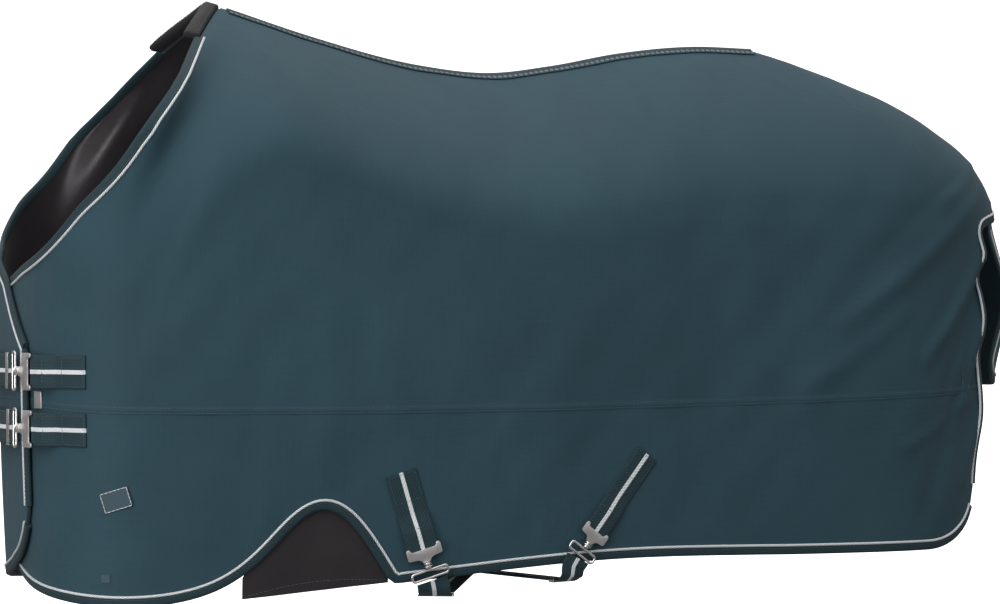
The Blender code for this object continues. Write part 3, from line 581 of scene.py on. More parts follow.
def shell_cloth(name, colour):
    """Matt ripstop: a fine plain weave with heavier threads every 10 mm, and faint handling creases."""
    made = Material(name, Sheen_Weight=0.04, Sheen_Roughness=0.5, Specular_IOR_Level=0.22)
    uv, here = made.place("UV"), made.place()
    weave = made.maths("ADD", made.wave(uv, 160.0, "X"), made.wave(uv, 160.0, "Y"))
    thick = made.maths("ADD", *(made.ramp(made.wave(uv, 31.0, axis), [(0.90, (0, 0, 0)), (1.0, (1, 1, 1))])
                                for axis in "XY"))
    cloud = made.noise(here, 5.0, 4.0)
    base = made.ramp(cloud, [(0.3, tint(colour, 0.90)), (0.7, tint(colour, 1.10))])
    base = made.over(base, weave, 0.16, tint(colour, 0.70))
    base = made.over(base, thick, 0.07, tint(colour, 1.5))
    base = made.over(base, made.noise(here, 420.0, 2.0), 0.18, tint(colour, 1.35))
    made.link(base, "Base Color")
    made.rough_by(cloud, 0.60, 0.74)
    made.bump(made.noise(made.scaled(here, (1.0, 1.0, 0.55)), 26.0, 5.0, 0.6), 0.30, 0.006)
    made.bump(made.maths("ADD", weave, made.maths("MULTIPLY", thick, 0.8)), 0.22, 0.0004)
    return made.material


def webbing_cloth(name, colour, ribs=150.0, pattern=""):
    """Flat woven webbing: a twill with ribs, and a silver stripe or two rows of diamonds when asked."""
    made = Material(name, Sheen_Weight=0.04, Specular_IOR_Level=0.25)
    uv = made.place("UV")
    twill, rib = made.wave(uv, ribs * 0.7, "DIAGONAL"), made.wave(uv, ribs * 0.5, "Y")
    fibres = made.noise(made.place(), 700.0, 2.0)
    base = made.over(tint(colour, 0.75), twill, 0.5, tint(colour, 1.35))
    base = made.over(base, fibres, 0.3, tint(colour, 1.7))
    axes = made.node("ShaderNodeSeparateXYZ", {"Vector": uv}).outputs
    if pattern == "stripe":
        band = made.maths("LESS_THAN", made.maths("ABSOLUTE", axes["Y"]), STRIPE_HALF_WIDTH)
        silver = made.mix(made.wave(uv, 210.0, "DIAGONAL"), (0.52, 0.55, 0.58), (0.92, 0.94, 0.96))
        base = made.mix(band, base, silver)
    if pattern == "diamonds":
        along = made.maths("PINGPONG", axes["X"], DIAMOND_PITCH)
        along = made.maths("ABSOLUTE", made.maths("SUBTRACT", along, DIAMOND_PITCH / 2))
        row = made.maths("MINIMUM", *(made.maths("ABSOLUTE", made.maths("SUBTRACT", axes["Y"], place))
                                      for place in DIAMOND_ROWS))
        away = made.maths("ADD", along, made.maths("MULTIPLY", row, 0.75))
        inside, hollow = made.maths("LESS_THAN", away, 0.0034), made.maths("GREATER_THAN", away, 0.0016)
        base = made.mix(made.maths("MULTIPLY", inside, hollow), base, (0.24, 0.29, 0.32))
    made.link(base, "Base Color")
    made.rough_by(fibres, 0.5, 0.75)
    made.bump(made.maths("ADD", twill, made.maths("MULTIPLY", rib, 0.7)), 0.5, 0.0006)
    return made.material


def satin_cloth(name, colour, roughness, grain=300.0):
    """Smooth lining or pad: a fine grain and soft creases."""
    made = Material(name, Sheen_Weight=0.08, Sheen_Roughness=0.4, Specular_IOR_Level=0.35)
    here = made.place()
    fine = made.noise(here, grain, 2.0)
    base = made.ramp(made.noise(here, 7.0, 3.0), [(0.3, tint(colour, 0.8)), (0.7, tint(colour, 1.25))])
    made.link(made.over(base, fine, 0.25, tint(colour, 1.8)), "Base Color")
    made.rough_by(fine, roughness - 0.08, roughness + 0.1)
    made.bump(made.noise(here, 18.0, 4.0), 0.25, 0.006)
    made.bump(fine, 0.25, 0.0004)
    return made.material


def piping_cord(name):
    """Silver twisted cord: diagonal strands with painted shade in the grooves, painted highlights on the
    crests and bright painted glints.
    """
    made = Material(name, roughness=0.38, Sheen_Weight=0.2)
    strands = made.wave(made.scaled(made.place("UV"), (1.0, 2.2, 1.0)), 95.0, "DIAGONAL")
    # the ramp over the strands paints shade into the grooves (dark end) and a highlight on the crests (bright
    # end)
    painted_shade_and_highlight = [(0.0, (0.17, 0.19, 0.21)), (0.45, (0.60, 0.64, 0.67)), (1.0, (0.92, 0.94, 0.96))]
    glints = made.noise(made.place(), 900.0, 1.0)
    made.link(made.over(made.ramp(strands, painted_shade_and_highlight), glints, 0.4, (0.95, 0.96, 0.97)), "Base Color")
    made.rough_by(strands, 0.5, 0.28)
    made.bump(strands, 0.8, 0.0006)
    return made.material


def nickel(name, colour, low, high):
    """Plated metal: fine brushing, small dents and darker handling marks."""
    made = Material(name, metallic=1.0)
    here = made.place()
    marks = made.noise(here, 60.0, 4.0)
    made.link(made.ramp(marks, [(0.3, tint(colour, 0.78)), (0.6, colour)]), "Base Color")
    made.rough_by(made.noise(made.scaled(here, (1.0, 1.0, 14.0)), 120.0, 3.0), low, high)
    made.bump(marks, 0.12, 0.0008)
    return made.material


def thread_material():
    made = Material("thread", roughness=0.5)
    strands = made.wave(made.place(), 900.0, "DIAGONAL")
    made.link(made.ramp(strands, [(0.0, (0.03, 0.06, 0.075)), (1.0, (0.09, 0.15, 0.175))]), "Base Color")
    return made.material


def label_material():
    """Woven slate label with a silver border and a small woven lattice in place of any mark."""
    made = Material("label", roughness=0.55)
    uv = made.place("UV")
    lattice = made.maths("MULTIPLY", made.wave(uv, 5.0, "DIAGONAL"), made.wave(uv, 9.0, "X"))
    base = made.ramp(lattice, [(0.62, (0.030, 0.066, 0.088)), (0.80, (0.16, 0.20, 0.23))])
    made.link(base, "Base Color")
    made.bump(made.wave(made.place(), 420.0, "DIAGONAL"), 0.4, 0.0004)
    return made.material


STRIPE_HALF_WIDTH = 0.0032
DIAMOND_PITCH, DIAMOND_ROWS = 0.009, (0.0085, 0.0355)
TEAL = (0.0265, 0.066, 0.088)
DEEP = (0.016, 0.040, 0.050)
BLACK = (0.014, 0.012, 0.0135)
CLOTH = shell_cloth("ripstop_shell", TEAL)
TAPE = webbing_cloth("edge_tape", DEEP, 260.0)
WEB = webbing_cloth("strap_webbing", DEEP, pattern="stripe")
RIDGE = webbing_cloth("ridge_webbing", DEEP, 260.0, "diamonds")
SATIN = satin_cloth("satin_lining", tint(BLACK, 1.9), 0.34)
SOFT = satin_cloth("soft_pad", tint(BLACK, 1.2), 0.7, 600.0)
PIPING = piping_cord("silver_piping")
PLATE_METAL = nickel("matt_nickel", (0.80, 0.78, 0.76), 0.34, 0.5)
BRIGHT = nickel("polished_nickel", (0.86, 0.84, 0.82), 0.12, 0.26)
THREAD = thread_material()
LABEL = label_material()
# the label border uses the cord material, with its painted groove shade, crest highlights and glints
SILVER = piping_cord("silver_border")


# ---- Straps' places, as in the CAD model -----------------------------------------------
PAD_WIDTH, PAD, TAPE_WIDTH, TAPE_THICKNESS = 0.03, 0.014, 0.044, 0.0015
CHEST_WIDTH, BELLY_WIDTHS = 0.05, {"front": 0.05, "rear": 0.04}
CHEST_HEIGHTS = {"upper": -0.470, "lower": -0.556}
CHEST_PLACES = (0.70, 0.44)
STUD_RADIUS, LOOP_WIRE, PLATE, STRAP_SEAT = 0.0075, 0.002, 0.0025, 0.008
PLATE_LENGTHS = {"chest": 0.045, "belly": 0.018}
STUD_LENGTHS = {"chest": 0.013, "belly": 0.010}
LOOP_LENGTH, LOOP_CORNER = 0.012, 0.004
ADJUSTER_LENGTH, ADJUSTER_PLACE, RUN_CLEARANCE = 0.012, 0.018, 0.0006
STRAIGHT = (0, 0.012, 0.024, 0.036, 0.048, 0.060)
BELLY_SAG = {"front": -0.812, "rear": -0.796}
SURCINGLES = {name: [(1 + x - FRONT_X, z) for x, z in ends] for name, ends in {
    "front": ((-0.244, -0.624), (-0.208, -0.742)), "rear": ((0.160, -0.603), (0.070, -0.722))}.items()}
FLAT = SHELL_OUT + GAP
LABEL_PLACE, TAG_PLACE, CLASP_PLACE = (0.80, -0.658), (0.76, -0.775), (0.425, -0.513)
REAR_TACK_PLACE = (END - 0.062, -0.488)


def surface_frame(s, z, side="left"):
    """Point, direction to the tail and outward normal on the wall."""
    along = wall(s + 0.01, z) - wall(s - 0.01, z)
    normal = np.cross(wall(s, z - 0.01) - wall(s, z + 0.01), along)
    flip = MIRROR if side == "right" else np.ones(3)
    return wall(s, z) * flip, unit(along) * flip, unit(normal) * flip


def calm(grid, side):
    """0 beside straps and labels, where the cloth is held flat, and 1 away from them."""
    spots = [((CHEST_PLACES[0], z), (CHEST_PLACES[1], z), 0.045) for z in CHEST_HEIGHTS.values()]
    spots += [(*places, 0.045) for places in SURCINGLES.values()]
    if side == "left":
        held_flat = ((LABEL_PLACE, 0.03), (TAG_PLACE, 0.012), (CLASP_PLACE, 0.03))
        spots += [(place, place, reach) for place, reach in held_flat]
    weight = np.ones(grid.shape[:2])
    for a, b, reach in spots:
        start_point, end_point = surface_frame(*a, side)[0], surface_frame(*b, side)[0]
        way = end_point - start_point
        t = np.clip(((grid - start_point) @ way) / max(way @ way, 1e-9), 0, 1)
        away = np.linalg.norm(grid - start_point - t[..., None] * way, axis=2)
        weight = np.minimum(weight, ease((away - reach) / 0.05))
    return weight


# ---- Cloth -----------------------------------------------------------------------------
# Profiles are (outwards, up) from the line that they follow.
BINDING_PROFILE = [(-0.0052, 0.0066), (-0.0050, 0.0073), (-0.0030, 0.0076), (0.0040, 0.0076),
                   (0.0068, 0.0069), (0.0080, 0.0050), (0.0083, 0.0034), (0.0079, 0.0015), (0.0062, 0.0001),
                   (0.0035, -0.0009), (-0.0030, -0.0011), (-0.0052, -0.0009), (-0.0052, -0.0002),
                   (0.0003, -0.0002), (0.0003, 0.0066)]
HALF_SEAM = [(-0.0065, -0.0002), (-0.0065, 0.0004), (-0.006, 0.0007), (-0.0045, 0.0006), (-0.004, 0.0004),
             (-0.0035, 0.0007)]
SEAM_PROFILE = HALF_SEAM + [(-x, y) for x, y in HALF_SEAM[::-1]]
PIPING_IN, PIPING_RISE, PIPING_RADIUS = 0.0068, 0.001, 0.0021
BINDING_STITCH_IN, BINDING_STITCH_RISE, FINE_THREAD = 0.0022, 0.0078, 0.00035
SEAM_STITCHES, SEAM_STITCH_RISE = (-0.004, 0.004), 0.0005


def piping(name, edge, out, normals, rise, **more):
    """Silver cord that lies just inside a binding."""
    return swept(name + "_piping", edge - out * PIPING_IN + normals * rise, out, normals,
                 circle_profile(PIPING_RADIUS), PIPING, slot="trim", **more)


def bound_edge(name, edge, normals, inside, node, gap):
    """Folded binding tape, silver piping and a stitch row along one edge. Returns the pieces."""
    out = edge_frame(edge, normals, inside)
    tape = swept(name, edge + out * gap, out, normals, BINDING_PROFILE, TAPE, node=node, slot="trim")
    cord = piping(name, edge, out, normals, SHELL_OUT + PIPING_RISE)
    row = edge - out * BINDING_STITCH_IN + normals * BINDING_STITCH_RISE
    return [tape, cord, stitch_row(name + "_stitches", row, normals, thread=FINE_THREAD)]


def make_cloth(side):
    """One half of the rug: two shell panels, lining, seam and bound edges."""
    grid, normals, folds, places = cloth_half(side)
    base = grid + normals * (folds * calm(grid, side))[..., None]
    seam, trims = UPPER_ROWS, []
    pad_start = int(np.searchsorted(places, 1 - GAP))
    spine_start = int(np.searchsorted(places, 1 + SPINE_FRONT_X - FRONT_X - GAP))
    edges = {"neck": (np.s_[:pad_start + 1, 0], np.s_[:pad_start + 1, 2], 3 * GAP),
             "flap": (np.s_[0, 1:-1], np.s_[2, 1:-1], GAP),
             "hem": (np.s_[1:-1, -1], np.s_[1:-1, -3], GAP),
             "rear": (np.s_[-1, 2:-1], np.s_[-3, 2:-1], GAP)}
    for name, (edge, inside, gap) in edges.items():
        trims += bound_edge(f"edge_{name}_{side}", base[edge], normals[edge], base[inside],
                            f"{name}_binding_{side}", gap)
    seam_row, up = base[:, seam], normals[:, seam]
    down = edge_frame(seam_row, up, base[:, seam - 2])
    path = seam_row + up * SHELL_OUT
    trims.append(swept(f"panel_seam_{side}", path[1:-1], down[1:-1], up[1:-1], SEAM_PROFILE, CLOTH))
    for k, offset in enumerate(SEAM_STITCHES):
        row = path[2:-2] + down[2:-2] * offset + up[2:-2] * SEAM_STITCH_RISE
        trims.append(stitch_row(f"seam_stitches_{side}_{k}", row, up[2:-2]))
    split = np.array([0, 0, GAP / 2])
    panels = (("upper", np.s_[:, :seam + 1], -1, split), ("lower", np.s_[:, seam:], 0, -split))
    for name, rows, last, shift in panels:
        part, out = base[rows].copy(), normals[rows]
        part[:, last] += shift
        piece = sheet(f"cloth_{name}_{side}", part + out * SHELL_IN, part + out * SHELL_OUT, CLOTH)
        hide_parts(f"shell_{name}_{side}")
    piece = sheet(f"satin_{side}", base, base + normals * LINING, SATIN, slot="lining")
    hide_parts(f"lining_{side}")
    return base, normals, pad_start, spine_start


def make_gusset(side):
    """Dark panel behind the leg arch, with a stitched hem."""
    reach, columns, rows = ARCH_HALF_WIDTH - 0.008, 41, 22
    grid = []
    for x in np.linspace(ARCH_CENTRE_X - reach, ARCH_CENTRE_X + reach, columns):
        s = 1 + x - FRONT_X
        heights = np.linspace(hem_height(s) + 0.012, hem_height(s, arch=False) - 0.006, rows)
        grid.append([wall(s, z) for z in heights])
    grid = np.array(grid)
    normals = normals_of(grid)
    if side == "right":
        grid, normals = grid * MIRROR, normals * MIRROR
    t = np.linspace(0, 1, columns)[:, None]
    waves = 0.0016 * np.sin(7.5 * t + np.linspace(0, 2, rows)[None, :]) * np.sin(math.pi * t)
    soft = grid - normals * (0.0008 + np.abs(waves))[..., None]
    piece = sheet(f"gusset_{side}", soft - normals * 0.0018, soft, SATIN, slot="gusset")
    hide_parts(f"leg_gusset_{side}")
    up = normals[1:-1, -3]
    stitches = stitch_row(f"gusset_stitches_{side}", soft[1:-1, -3] + up * 0.0002, up)


def make_spine_tape(left, right):
    """Folded woven tape over the ridge, stitched along both edges."""
    half_steps = 5
    steps = np.linspace(0, TAPE_WIDTH / 2, half_steps + 1)
    grid, normals = [], []
    for i in range(left[3] + 1, FRONT_COLUMNS + SIDE_COLUMNS):
        halves = []
        for base, out, *_ in (left, right):
            run = distances(base[i, :8])
            halves += [read(base[i, :8], run, steps), read(out[i, :8], run, steps)]
            halves[-1][0] = unit(halves[-1][0] * ON_RIDGE)
        near, near_out, far, far_out = halves
        grid.append(np.vstack([near[:0:-1], [near[0] * ON_RIDGE], far[1:]]))
        normals.append(np.vstack([near_out[::-1], far_out[1:]]))
    grid, normals = np.array(grid), np.array(normals)
    lift = np.full(grid.shape[:2], SHELL_OUT + 2 * GAP)
    lift[:, half_steps] += 0.0008  # the fold along the ridge stands up a little
    low = grid + normals * lift[..., None]
    piece = sheet("ridge_tape", low, low + normals * TAPE_THICKNESS, RIDGE, slot="trim")
    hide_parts("spine_tape")
    inner, up = low[1:-1], normals[1:-1]
    for k in (0, 2 * half_steps):
        row = inner[:, k] + (inner[:, half_steps] - inner[:, k]) * 0.09 + up[:, k] * TAPE_THICKNESS
        stitch_row(f"ridge_stitches_{k}", row, up[:, k])


def make_tail_flap():
    """Flap over the tail: its own sheet, binding and piping on the body that lifts."""
    steps, rows = 36, 26
    half = evenly(column(END)[:60], 120)
    angles = np.degrees(np.arctan2(np.abs(half[:, 1]), half[:, 0] - REAR_X))
    bottom = SPINE[-1][1] - ROOF_DROP[-1][1] - TAIL_FLAP_DROP
    grid = []
    for degrees in TAIL_FLAP_ANGLE * (2 * np.arange(steps + 1) / steps - 1):
        x, y = rump_plan(degrees)
        # the top edge drops 4 mm and the bottom edge rises 30 mm towards the sides
        aside = abs(degrees) / TAIL_FLAP_ANGLE
        top = np.interp(math.degrees(math.atan2(abs(y), x - REAR_X)), angles, half[:, 2])
        top -= 0.9 * BINDING_WIDTH + 0.004 * aside**2
        grid.append([])
        for t in np.linspace(0, 1, rows):
            z = top + (bottom - top) * t + 0.03 * aside**4 * t
            wave = 0.0024 * math.sin(degrees * 0.32) * math.sin(math.pi * min(t, 0.5))
            out = TAIL_FLAP_STANDOFF * (0.2 * t + math.sin(math.pi * t) ** 1.5)
            grid[-1].append([x + out + wave, y, z])
    grid = np.array(grid)
    normals = -normals_of(grid)
    if normals[steps // 2, 2, 0] < 0:
        normals = -normals
    piece = sheet("tail_cloth", grid, grid + normals * SHELL, CLOTH, body="tail_flap")
    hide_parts("tail_flap")
    rim, up = (np.vstack([values[0, 1:-1], values[:, -1], values[-1, -2:0:-1]]) for values in (grid, normals))
    out = edge_frame(rim, up, np.tile(grid[steps // 2, 10], (len(rim), 1)))
    profile = [(x, (y - 0.0030) * 0.72 + 0.0022) for x, y in BINDING_PROFILE]
    tape = swept("edge_tail", rim + out * GAP, out, up, profile, TAPE, node="tail_flap_binding",
                 body="tail_flap", slot="trim")
    cord = piping("edge_tail", rim, out, up, SHELL + PIPING_RISE, body="tail_flap")


# ---- The padded roll -------------------------------------------------------------------
def swell(piece, pressure=4.0, cap=0.003):
    """Blows a pad up with a short cloth simulation, then keeps its points near the start."""
    bpy.context.view_layer.objects.active = piece
    remesh = piece.modifiers.new("remesh", "REMESH")
    remesh.mode, remesh.voxel_size = "VOXEL", 0.003
    bpy.context.view_layer.update()
    mesh = shaped_mesh(piece)
    piece.data = mesh
    start = np.zeros(len(mesh.vertices) * 3)
    mesh.vertices.foreach_get("co", start)
    cloth = piece.modifiers.new("cloth", "CLOTH")
    cloth.settings.use_pressure = True
    cloth.settings.uniform_pressure_force = pressure
    cloth.settings.effector_weights.gravity = 0
    cloth.settings.quality = 5
    for step in range(1, 21):
        bpy.context.scene.frame_set(step)
    moved = np.zeros(len(start))
    shaped_mesh(piece).vertices.foreach_get("co", moved)
    push = (moved - start).reshape(-1, 3)
    length = np.linalg.norm(push, axis=1, keepdims=True)
    push *= np.minimum(1, cap / np.maximum(length, 1e-9))
    mesh.vertices.foreach_set("co", start + push.ravel())
    mesh.update()
    bpy.context.scene.frame_set(1)
    mesh.shade_smooth()
    mesh.materials.clear()
    mesh.materials.append(SOFT)


def make_wither_pad(left, right):
    """The soft roll round the front of the withers, with a stitch row along each side."""
    sides = []
    for base, normals, pad_start, spine_start in (left, right):
        picked = slice(pad_start, spine_start + 1)
        run = np.linspace(0, 1, spine_start + 1 - pad_start)
        sides.append([read(values[picked, 0], run, np.linspace(0.03, 1, 30)) for values in (base, normals)])
    edge, normals = (np.vstack([a[:-1], [a[-1] * ON_RIDGE], b[-2::-1]]) for a, b in zip(*sides))
    for _ in range(6):
        normals[1:-1] = (normals[:-2] + 2 * normals[1:-1] + normals[2:]) / 4
    normals = unit(normals)
    out = edge_frame(edge, normals, edge + [0.1, 0, 0])
    profile = rounded_box(0.0025, PAD_WIDTH - 0.0025, -0.001, PAD - 0.003, 0.45 * (PAD - 0.002), 5)
    pad = swept("roll_pad", edge, out, normals, profile, SOFT, slot="pad")
    swell(pad)
    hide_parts("wither_pad")
    for k, place in enumerate((0.006, PAD_WIDTH - 0.006)):
        row = edge[1:-1] + out[1:-1] * place + normals[1:-1] * (PAD - 0.0025)
        stitch_row(f"pad_stitches_{k}", row, normals[1:-1], thread=FINE_THREAD)


# ---- Straps and fasteners --------------------------------------------------------------
def smooth_path(points, count):
    """Evenly spaced points on a smooth curve through a few."""
    points = np.array(points, float)
    run = distances(points)
    at = np.linspace(0, run[-1], count * 4)
    dense = np.array([[through(list(zip(run, points[:, i])), t) for i in range(3)] for t in at])
    return evenly(dense, count)


def ribbon(name, path, across, width, node, body=BODY):
    """Webbing centred on a path: rounded selvedges and a woven stripe raised along the middle."""
    tangent = unit(np.gradient(path, axis=0))
    across = unit(across - tangent * np.einsum("ij,ij->i", across, tangent)[:, None])
    half, thick = width / 2, WEBBING / 2
    top = [(-half, 0.0), (-half + 0.0004, thick * 0.7), (-half + 0.0015, thick),
           (-half * 0.55, thick * 0.96), (-0.0036, thick * 0.96), (-0.0031, thick + 0.0001)]
    top += [(-x, y) for x, y in top[::-1]]
    return swept(name, path, across, np.cross(tangent, across), top + [(x, -y) for x, y in top[-2:0:-1]], WEB,
                 flat=True, node=node, body=body, slot="webbing")


def stitch_box(name, path, across, width, out, length, raised):
    """A sewn box at the start of a strap's path."""
    run, half, near = distances(path), width / 2 - 0.0035, 0.003
    corners = [(near, -half), (near, half), (length, half), (length, -half), (near, -half)]
    for k, (a, b) in enumerate(zip(corners, corners[1:])):
        along, side = (np.linspace(low, high, 12) for low, high in zip(a, b))
        up = read(out, run, along)
        row = read(path, run, along) + read(across, run, along) * side[:, None] + up * raised
        stitch_row(f"{name}_{k}", row, up, thread=0.0004, length=0.0028, pitch=0.0042)


def patch(name, places, width, side, low, high):
    """A strap sewn on the cloth, low at its start and high at its end. Returns its end as a seat."""
    first, last = (np.array(place) for place in places)
    spots = [surface_frame(*(first + (last - first) * t), side) for t in np.linspace(0, 1, 61)]
    out = np.array([normal for _, _, normal in spots])
    lift = low + (high - low) * ease((np.linspace(0, 1, 61) - 0.5) / 0.3) + WEBBING / 2
    path = np.array([point for point, _, _ in spots]) + out * lift[:, None]
    across = unit(np.cross(out, np.gradient(path, axis=0)))
    ribbon("web_" + name, path, across, width, name)
    length, raised, tack = distances(path)[-1], WEBBING / 2 + 0.0001, 43
    stitch_box("box_" + name, path, across, width, out, min(0.045, length * 0.4), raised)
    offsets = np.linspace(-width / 2 + 0.003, width / 2 - 0.003, 10)[:, None]
    row = path[tack] + across[tack] * offsets + out[tack] * raised
    stitch_row("tack_" + name, row, np.tile(out[tack], (10, 1)), thread=0.0004)
    (before, _, before_out), (end, _, normal) = spots[55], spots[60]
    end = end + normal * (high + WEBBING / 2)
    direction = unit(end - before - before_out * (high + WEBBING / 2))
    return end + normal * WEBBING / 2, direction, normal


def frame_at(origin, direction, normal):
    """Frame with x along direction and z as near normal as may be."""
    direction = Vector(direction).normalized()
    normal = (Vector(normal) - direction * Vector(normal).dot(direction)).normalized()
    basis = Matrix((direction, normal.cross(direction), normal)).transposed().to_4x4()
    return np.array(Matrix.Translation(Vector(origin)) @ basis)


def flat_plate(name, outline, low, high, place, **more):
    """A plate cut to a flat outline, from height low to high in the frame place."""
    n = len(outline)
    points = [(x, y, z) for z in (low, high) for x, y in outline]
    faces = [tuple(range(n - 1, -1, -1)), tuple(range(n, 2 * n))]
    faces += [(i, (i + 1) % n, n + (i + 1) % n, n + i) for i in range(n)]
    add_solid(name, placed(points, place), faces, PLATE_METAL, slot="hook_plate", **more)


def hook_plate(name, place, length, width, body):
    """Cast hook plate: a broad bar with two rounded arms that reach back over the strap's edges."""
    half = width / 2 + 0.003
    outline = [(length, -0.006), (length, 0.006), (length * 0.82, 0.0085), (length * 0.74, half * 0.5),
               (length * 0.70, half - 0.003), (length * 0.64, half), (0.003, half), (0.0, half - 0.002),
               (0.0, half - 0.0055), (0.003, half - 0.0075), (length * 0.17, half - 0.0075),
               (length * 0.21, half - 0.010), (length * 0.21, 0.0)]
    outline += [(x, -y) for x, y in outline[-2:1:-1]]
    flat_plate(f"cast_{name}", outline, -PLATE / 2, PLATE / 2, place, node=name, body=body,
               rounding=(0.0007, 2))


def turned_stud(name, place, start_x, length, body):
    """Turned swivel with a neck, two beads and a domed head."""
    profile = [(0, 0.0), (0, 0.45), (0.03, 0.60), (0.08, 0.62), (0.11, 0.9), (0.14, 1.0), (0.22, 1.0),
               (0.26, 0.9), (0.29, 0.62), (0.33, 0.55), (0.42, 0.55), (0.45, 0.7), (0.48, 0.95), (0.52, 1.0),
               (0.58, 1.0), (0.62, 0.95), (0.65, 0.7), (0.69, 0.6), (0.92, 0.6), (0.97, 0.52), (1.0, 0.38),
               (1.0, 0.0)]
    steps, points = 28, []
    for x, share_of_radius in profile:
        radius = STUD_RADIUS * max(share_of_radius, 0.001)
        for a in np.linspace(0, 2 * math.pi, steps, endpoint=False):
            points.append((start_x + length * x, radius * math.cos(a), radius * math.sin(a)))
    add_solid(f"turned_{name}", placed(points, place), tube_faces(len(profile), steps), BRIGHT, node=name,
              body=body, slot="stud")


def wire_loop(name, place, x0, length, half, body):
    """Rectangular wire loop with rounded corners."""
    outline = rounded_box(x0, x0 + length, -half, half, LOOP_CORNER, 6)
    ring(f"wire_{name}", outline, 0.0, place, circle_profile(LOOP_WIRE, 12), BRIGHT, node=name, body=body,
         slot="loop")


def fastener(name, kind, seat, width):
    """Hook plate, swivel stud and wire loop in line after a strap's end. Returns where they stop."""
    end, direction, normal = seat
    origin = end - direction * STRAP_SEAT + normal * (GAP + PLATE / 2)
    place = frame_at(origin, direction, normal)
    plate_length = PLATE_LENGTHS[kind] + STRAP_SEAT
    stud_start, length = plate_length + GAP, STUD_LENGTHS[kind]
    loop_start = stud_start + length + LOOP_WIRE + GAP
    hook_plate(f"{name}_hook_plate", place, plate_length, width, f"{name}_hook")
    turned_stud(f"{name}_swivel_stud", place, stud_start, length, f"{name}_stud")
    wire_loop(f"{name}_loop", place, loop_start, LOOP_LENGTH, width / 2 + 0.004, f"{name}_hook")
    return origin + direction * (loop_start + LOOP_LENGTH + LOOP_WIRE + GAP)


def adjuster(name, centre, direction, normal, width):
    """Flat metal keeper with rounded edges that slides along its strap."""
    half = ADJUSTER_LENGTH / 2
    hole = (width / 2 + RUN_CLEARANCE, WEBBING / 2 + RUN_CLEARANCE)
    reach = (hole[0] + 0.002, hole[1] + 0.0015)
    points = [(x, a * y, b * z) for x, (y, z) in ((-half, reach), (half, reach), (half, hole), (-half, hole))
              for a, b in ((-1, -1), (1, -1), (1, 1), (-1, 1))]
    faces = [(k * 4 + i, k * 4 + (i + 1) % 4, (k + 1) % 4 * 4 + (i + 1) % 4, (k + 1) % 4 * 4 + i)
             for k in range(4) for i in range(4)]
    add_solid(f"keeper_{name}", placed(points, frame_at(centre, direction, normal)), faces, BRIGHT,
              node=f"{name}_adjuster", rounding=(0.0006, 2), body=f"{name}_slide", slot="loop")


def strap_along(name, controls, count, width):
    """A free strap through (point, direction across) controls. It rides on no body."""
    points, across = (np.array(values, float) for values in zip(*controls))
    run = distances(points)
    path = evenly(smooth_path(points, count), count * 4)
    across = read(across, run, np.linspace(0, run[-1], count * 4))
    return ribbon("web_" + name, path, across, width, name, body=None)


def make_chest():
    """Two straps with fasteners across the chest, and the clasp plate between them."""
    clear = FLAP_LIFT + BINDING + STUD_RADIUS + 2 * GAP
    for name, height in CHEST_HEIGHTS.items():
        group = f"chest_{name}"
        end, way, _ = patch(f"{group}_patch_strap", [(place, height) for place in CHEST_PLACES], CHEST_WIDTH,
                            "left", FLAT, clear - WEBBING - PLATE / 2 - GAP)
        direction = unit(way * [0.6, 1, 0])
        normal = np.cross(UP, direction)
        begin = fastener(group, "chest", (end + normal * 2 * GAP, direction, normal), CHEST_WIDTH)
        controls = [(begin + direction * (GAP + d), UP) for d in STRAIGHT]
        adjuster(group, begin + direction * ADJUSTER_PLACE, direction, normal, CHEST_WIDTH)
        for s in np.arange(0.14, 0.73, 0.04):
            spot, _, out = surface_frame(s, height, "right")
            sewn = flap_lift(s) + FLAT + 4 * GAP + WEBBING / 2
            controls.append((spot + out * max(np.interp(s, [0.14, 0.42], [clear + 0.004, sewn]), sewn), UP))
        strap = strap_along(f"{group}_cross_strap", controls, 40, CHEST_WIDTH)
        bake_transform(strap)
    half_y = (CHEST_HEIGHTS["upper"] - CHEST_HEIGHTS["lower"] - CHEST_WIDTH) / 2 - 0.005
    point, along, out = surface_frame(*CLASP_PLACE)
    outline = [(-0.013, -half_y), (0.013, -half_y), (0.013, half_y), (-0.013, half_y)]
    flat_plate("clasp_plate", outline, 0, PLATE, frame_at(point + out * FLAT, -along, out),
               node="chest_clasp_plate", rounding=(0.0008, 3))


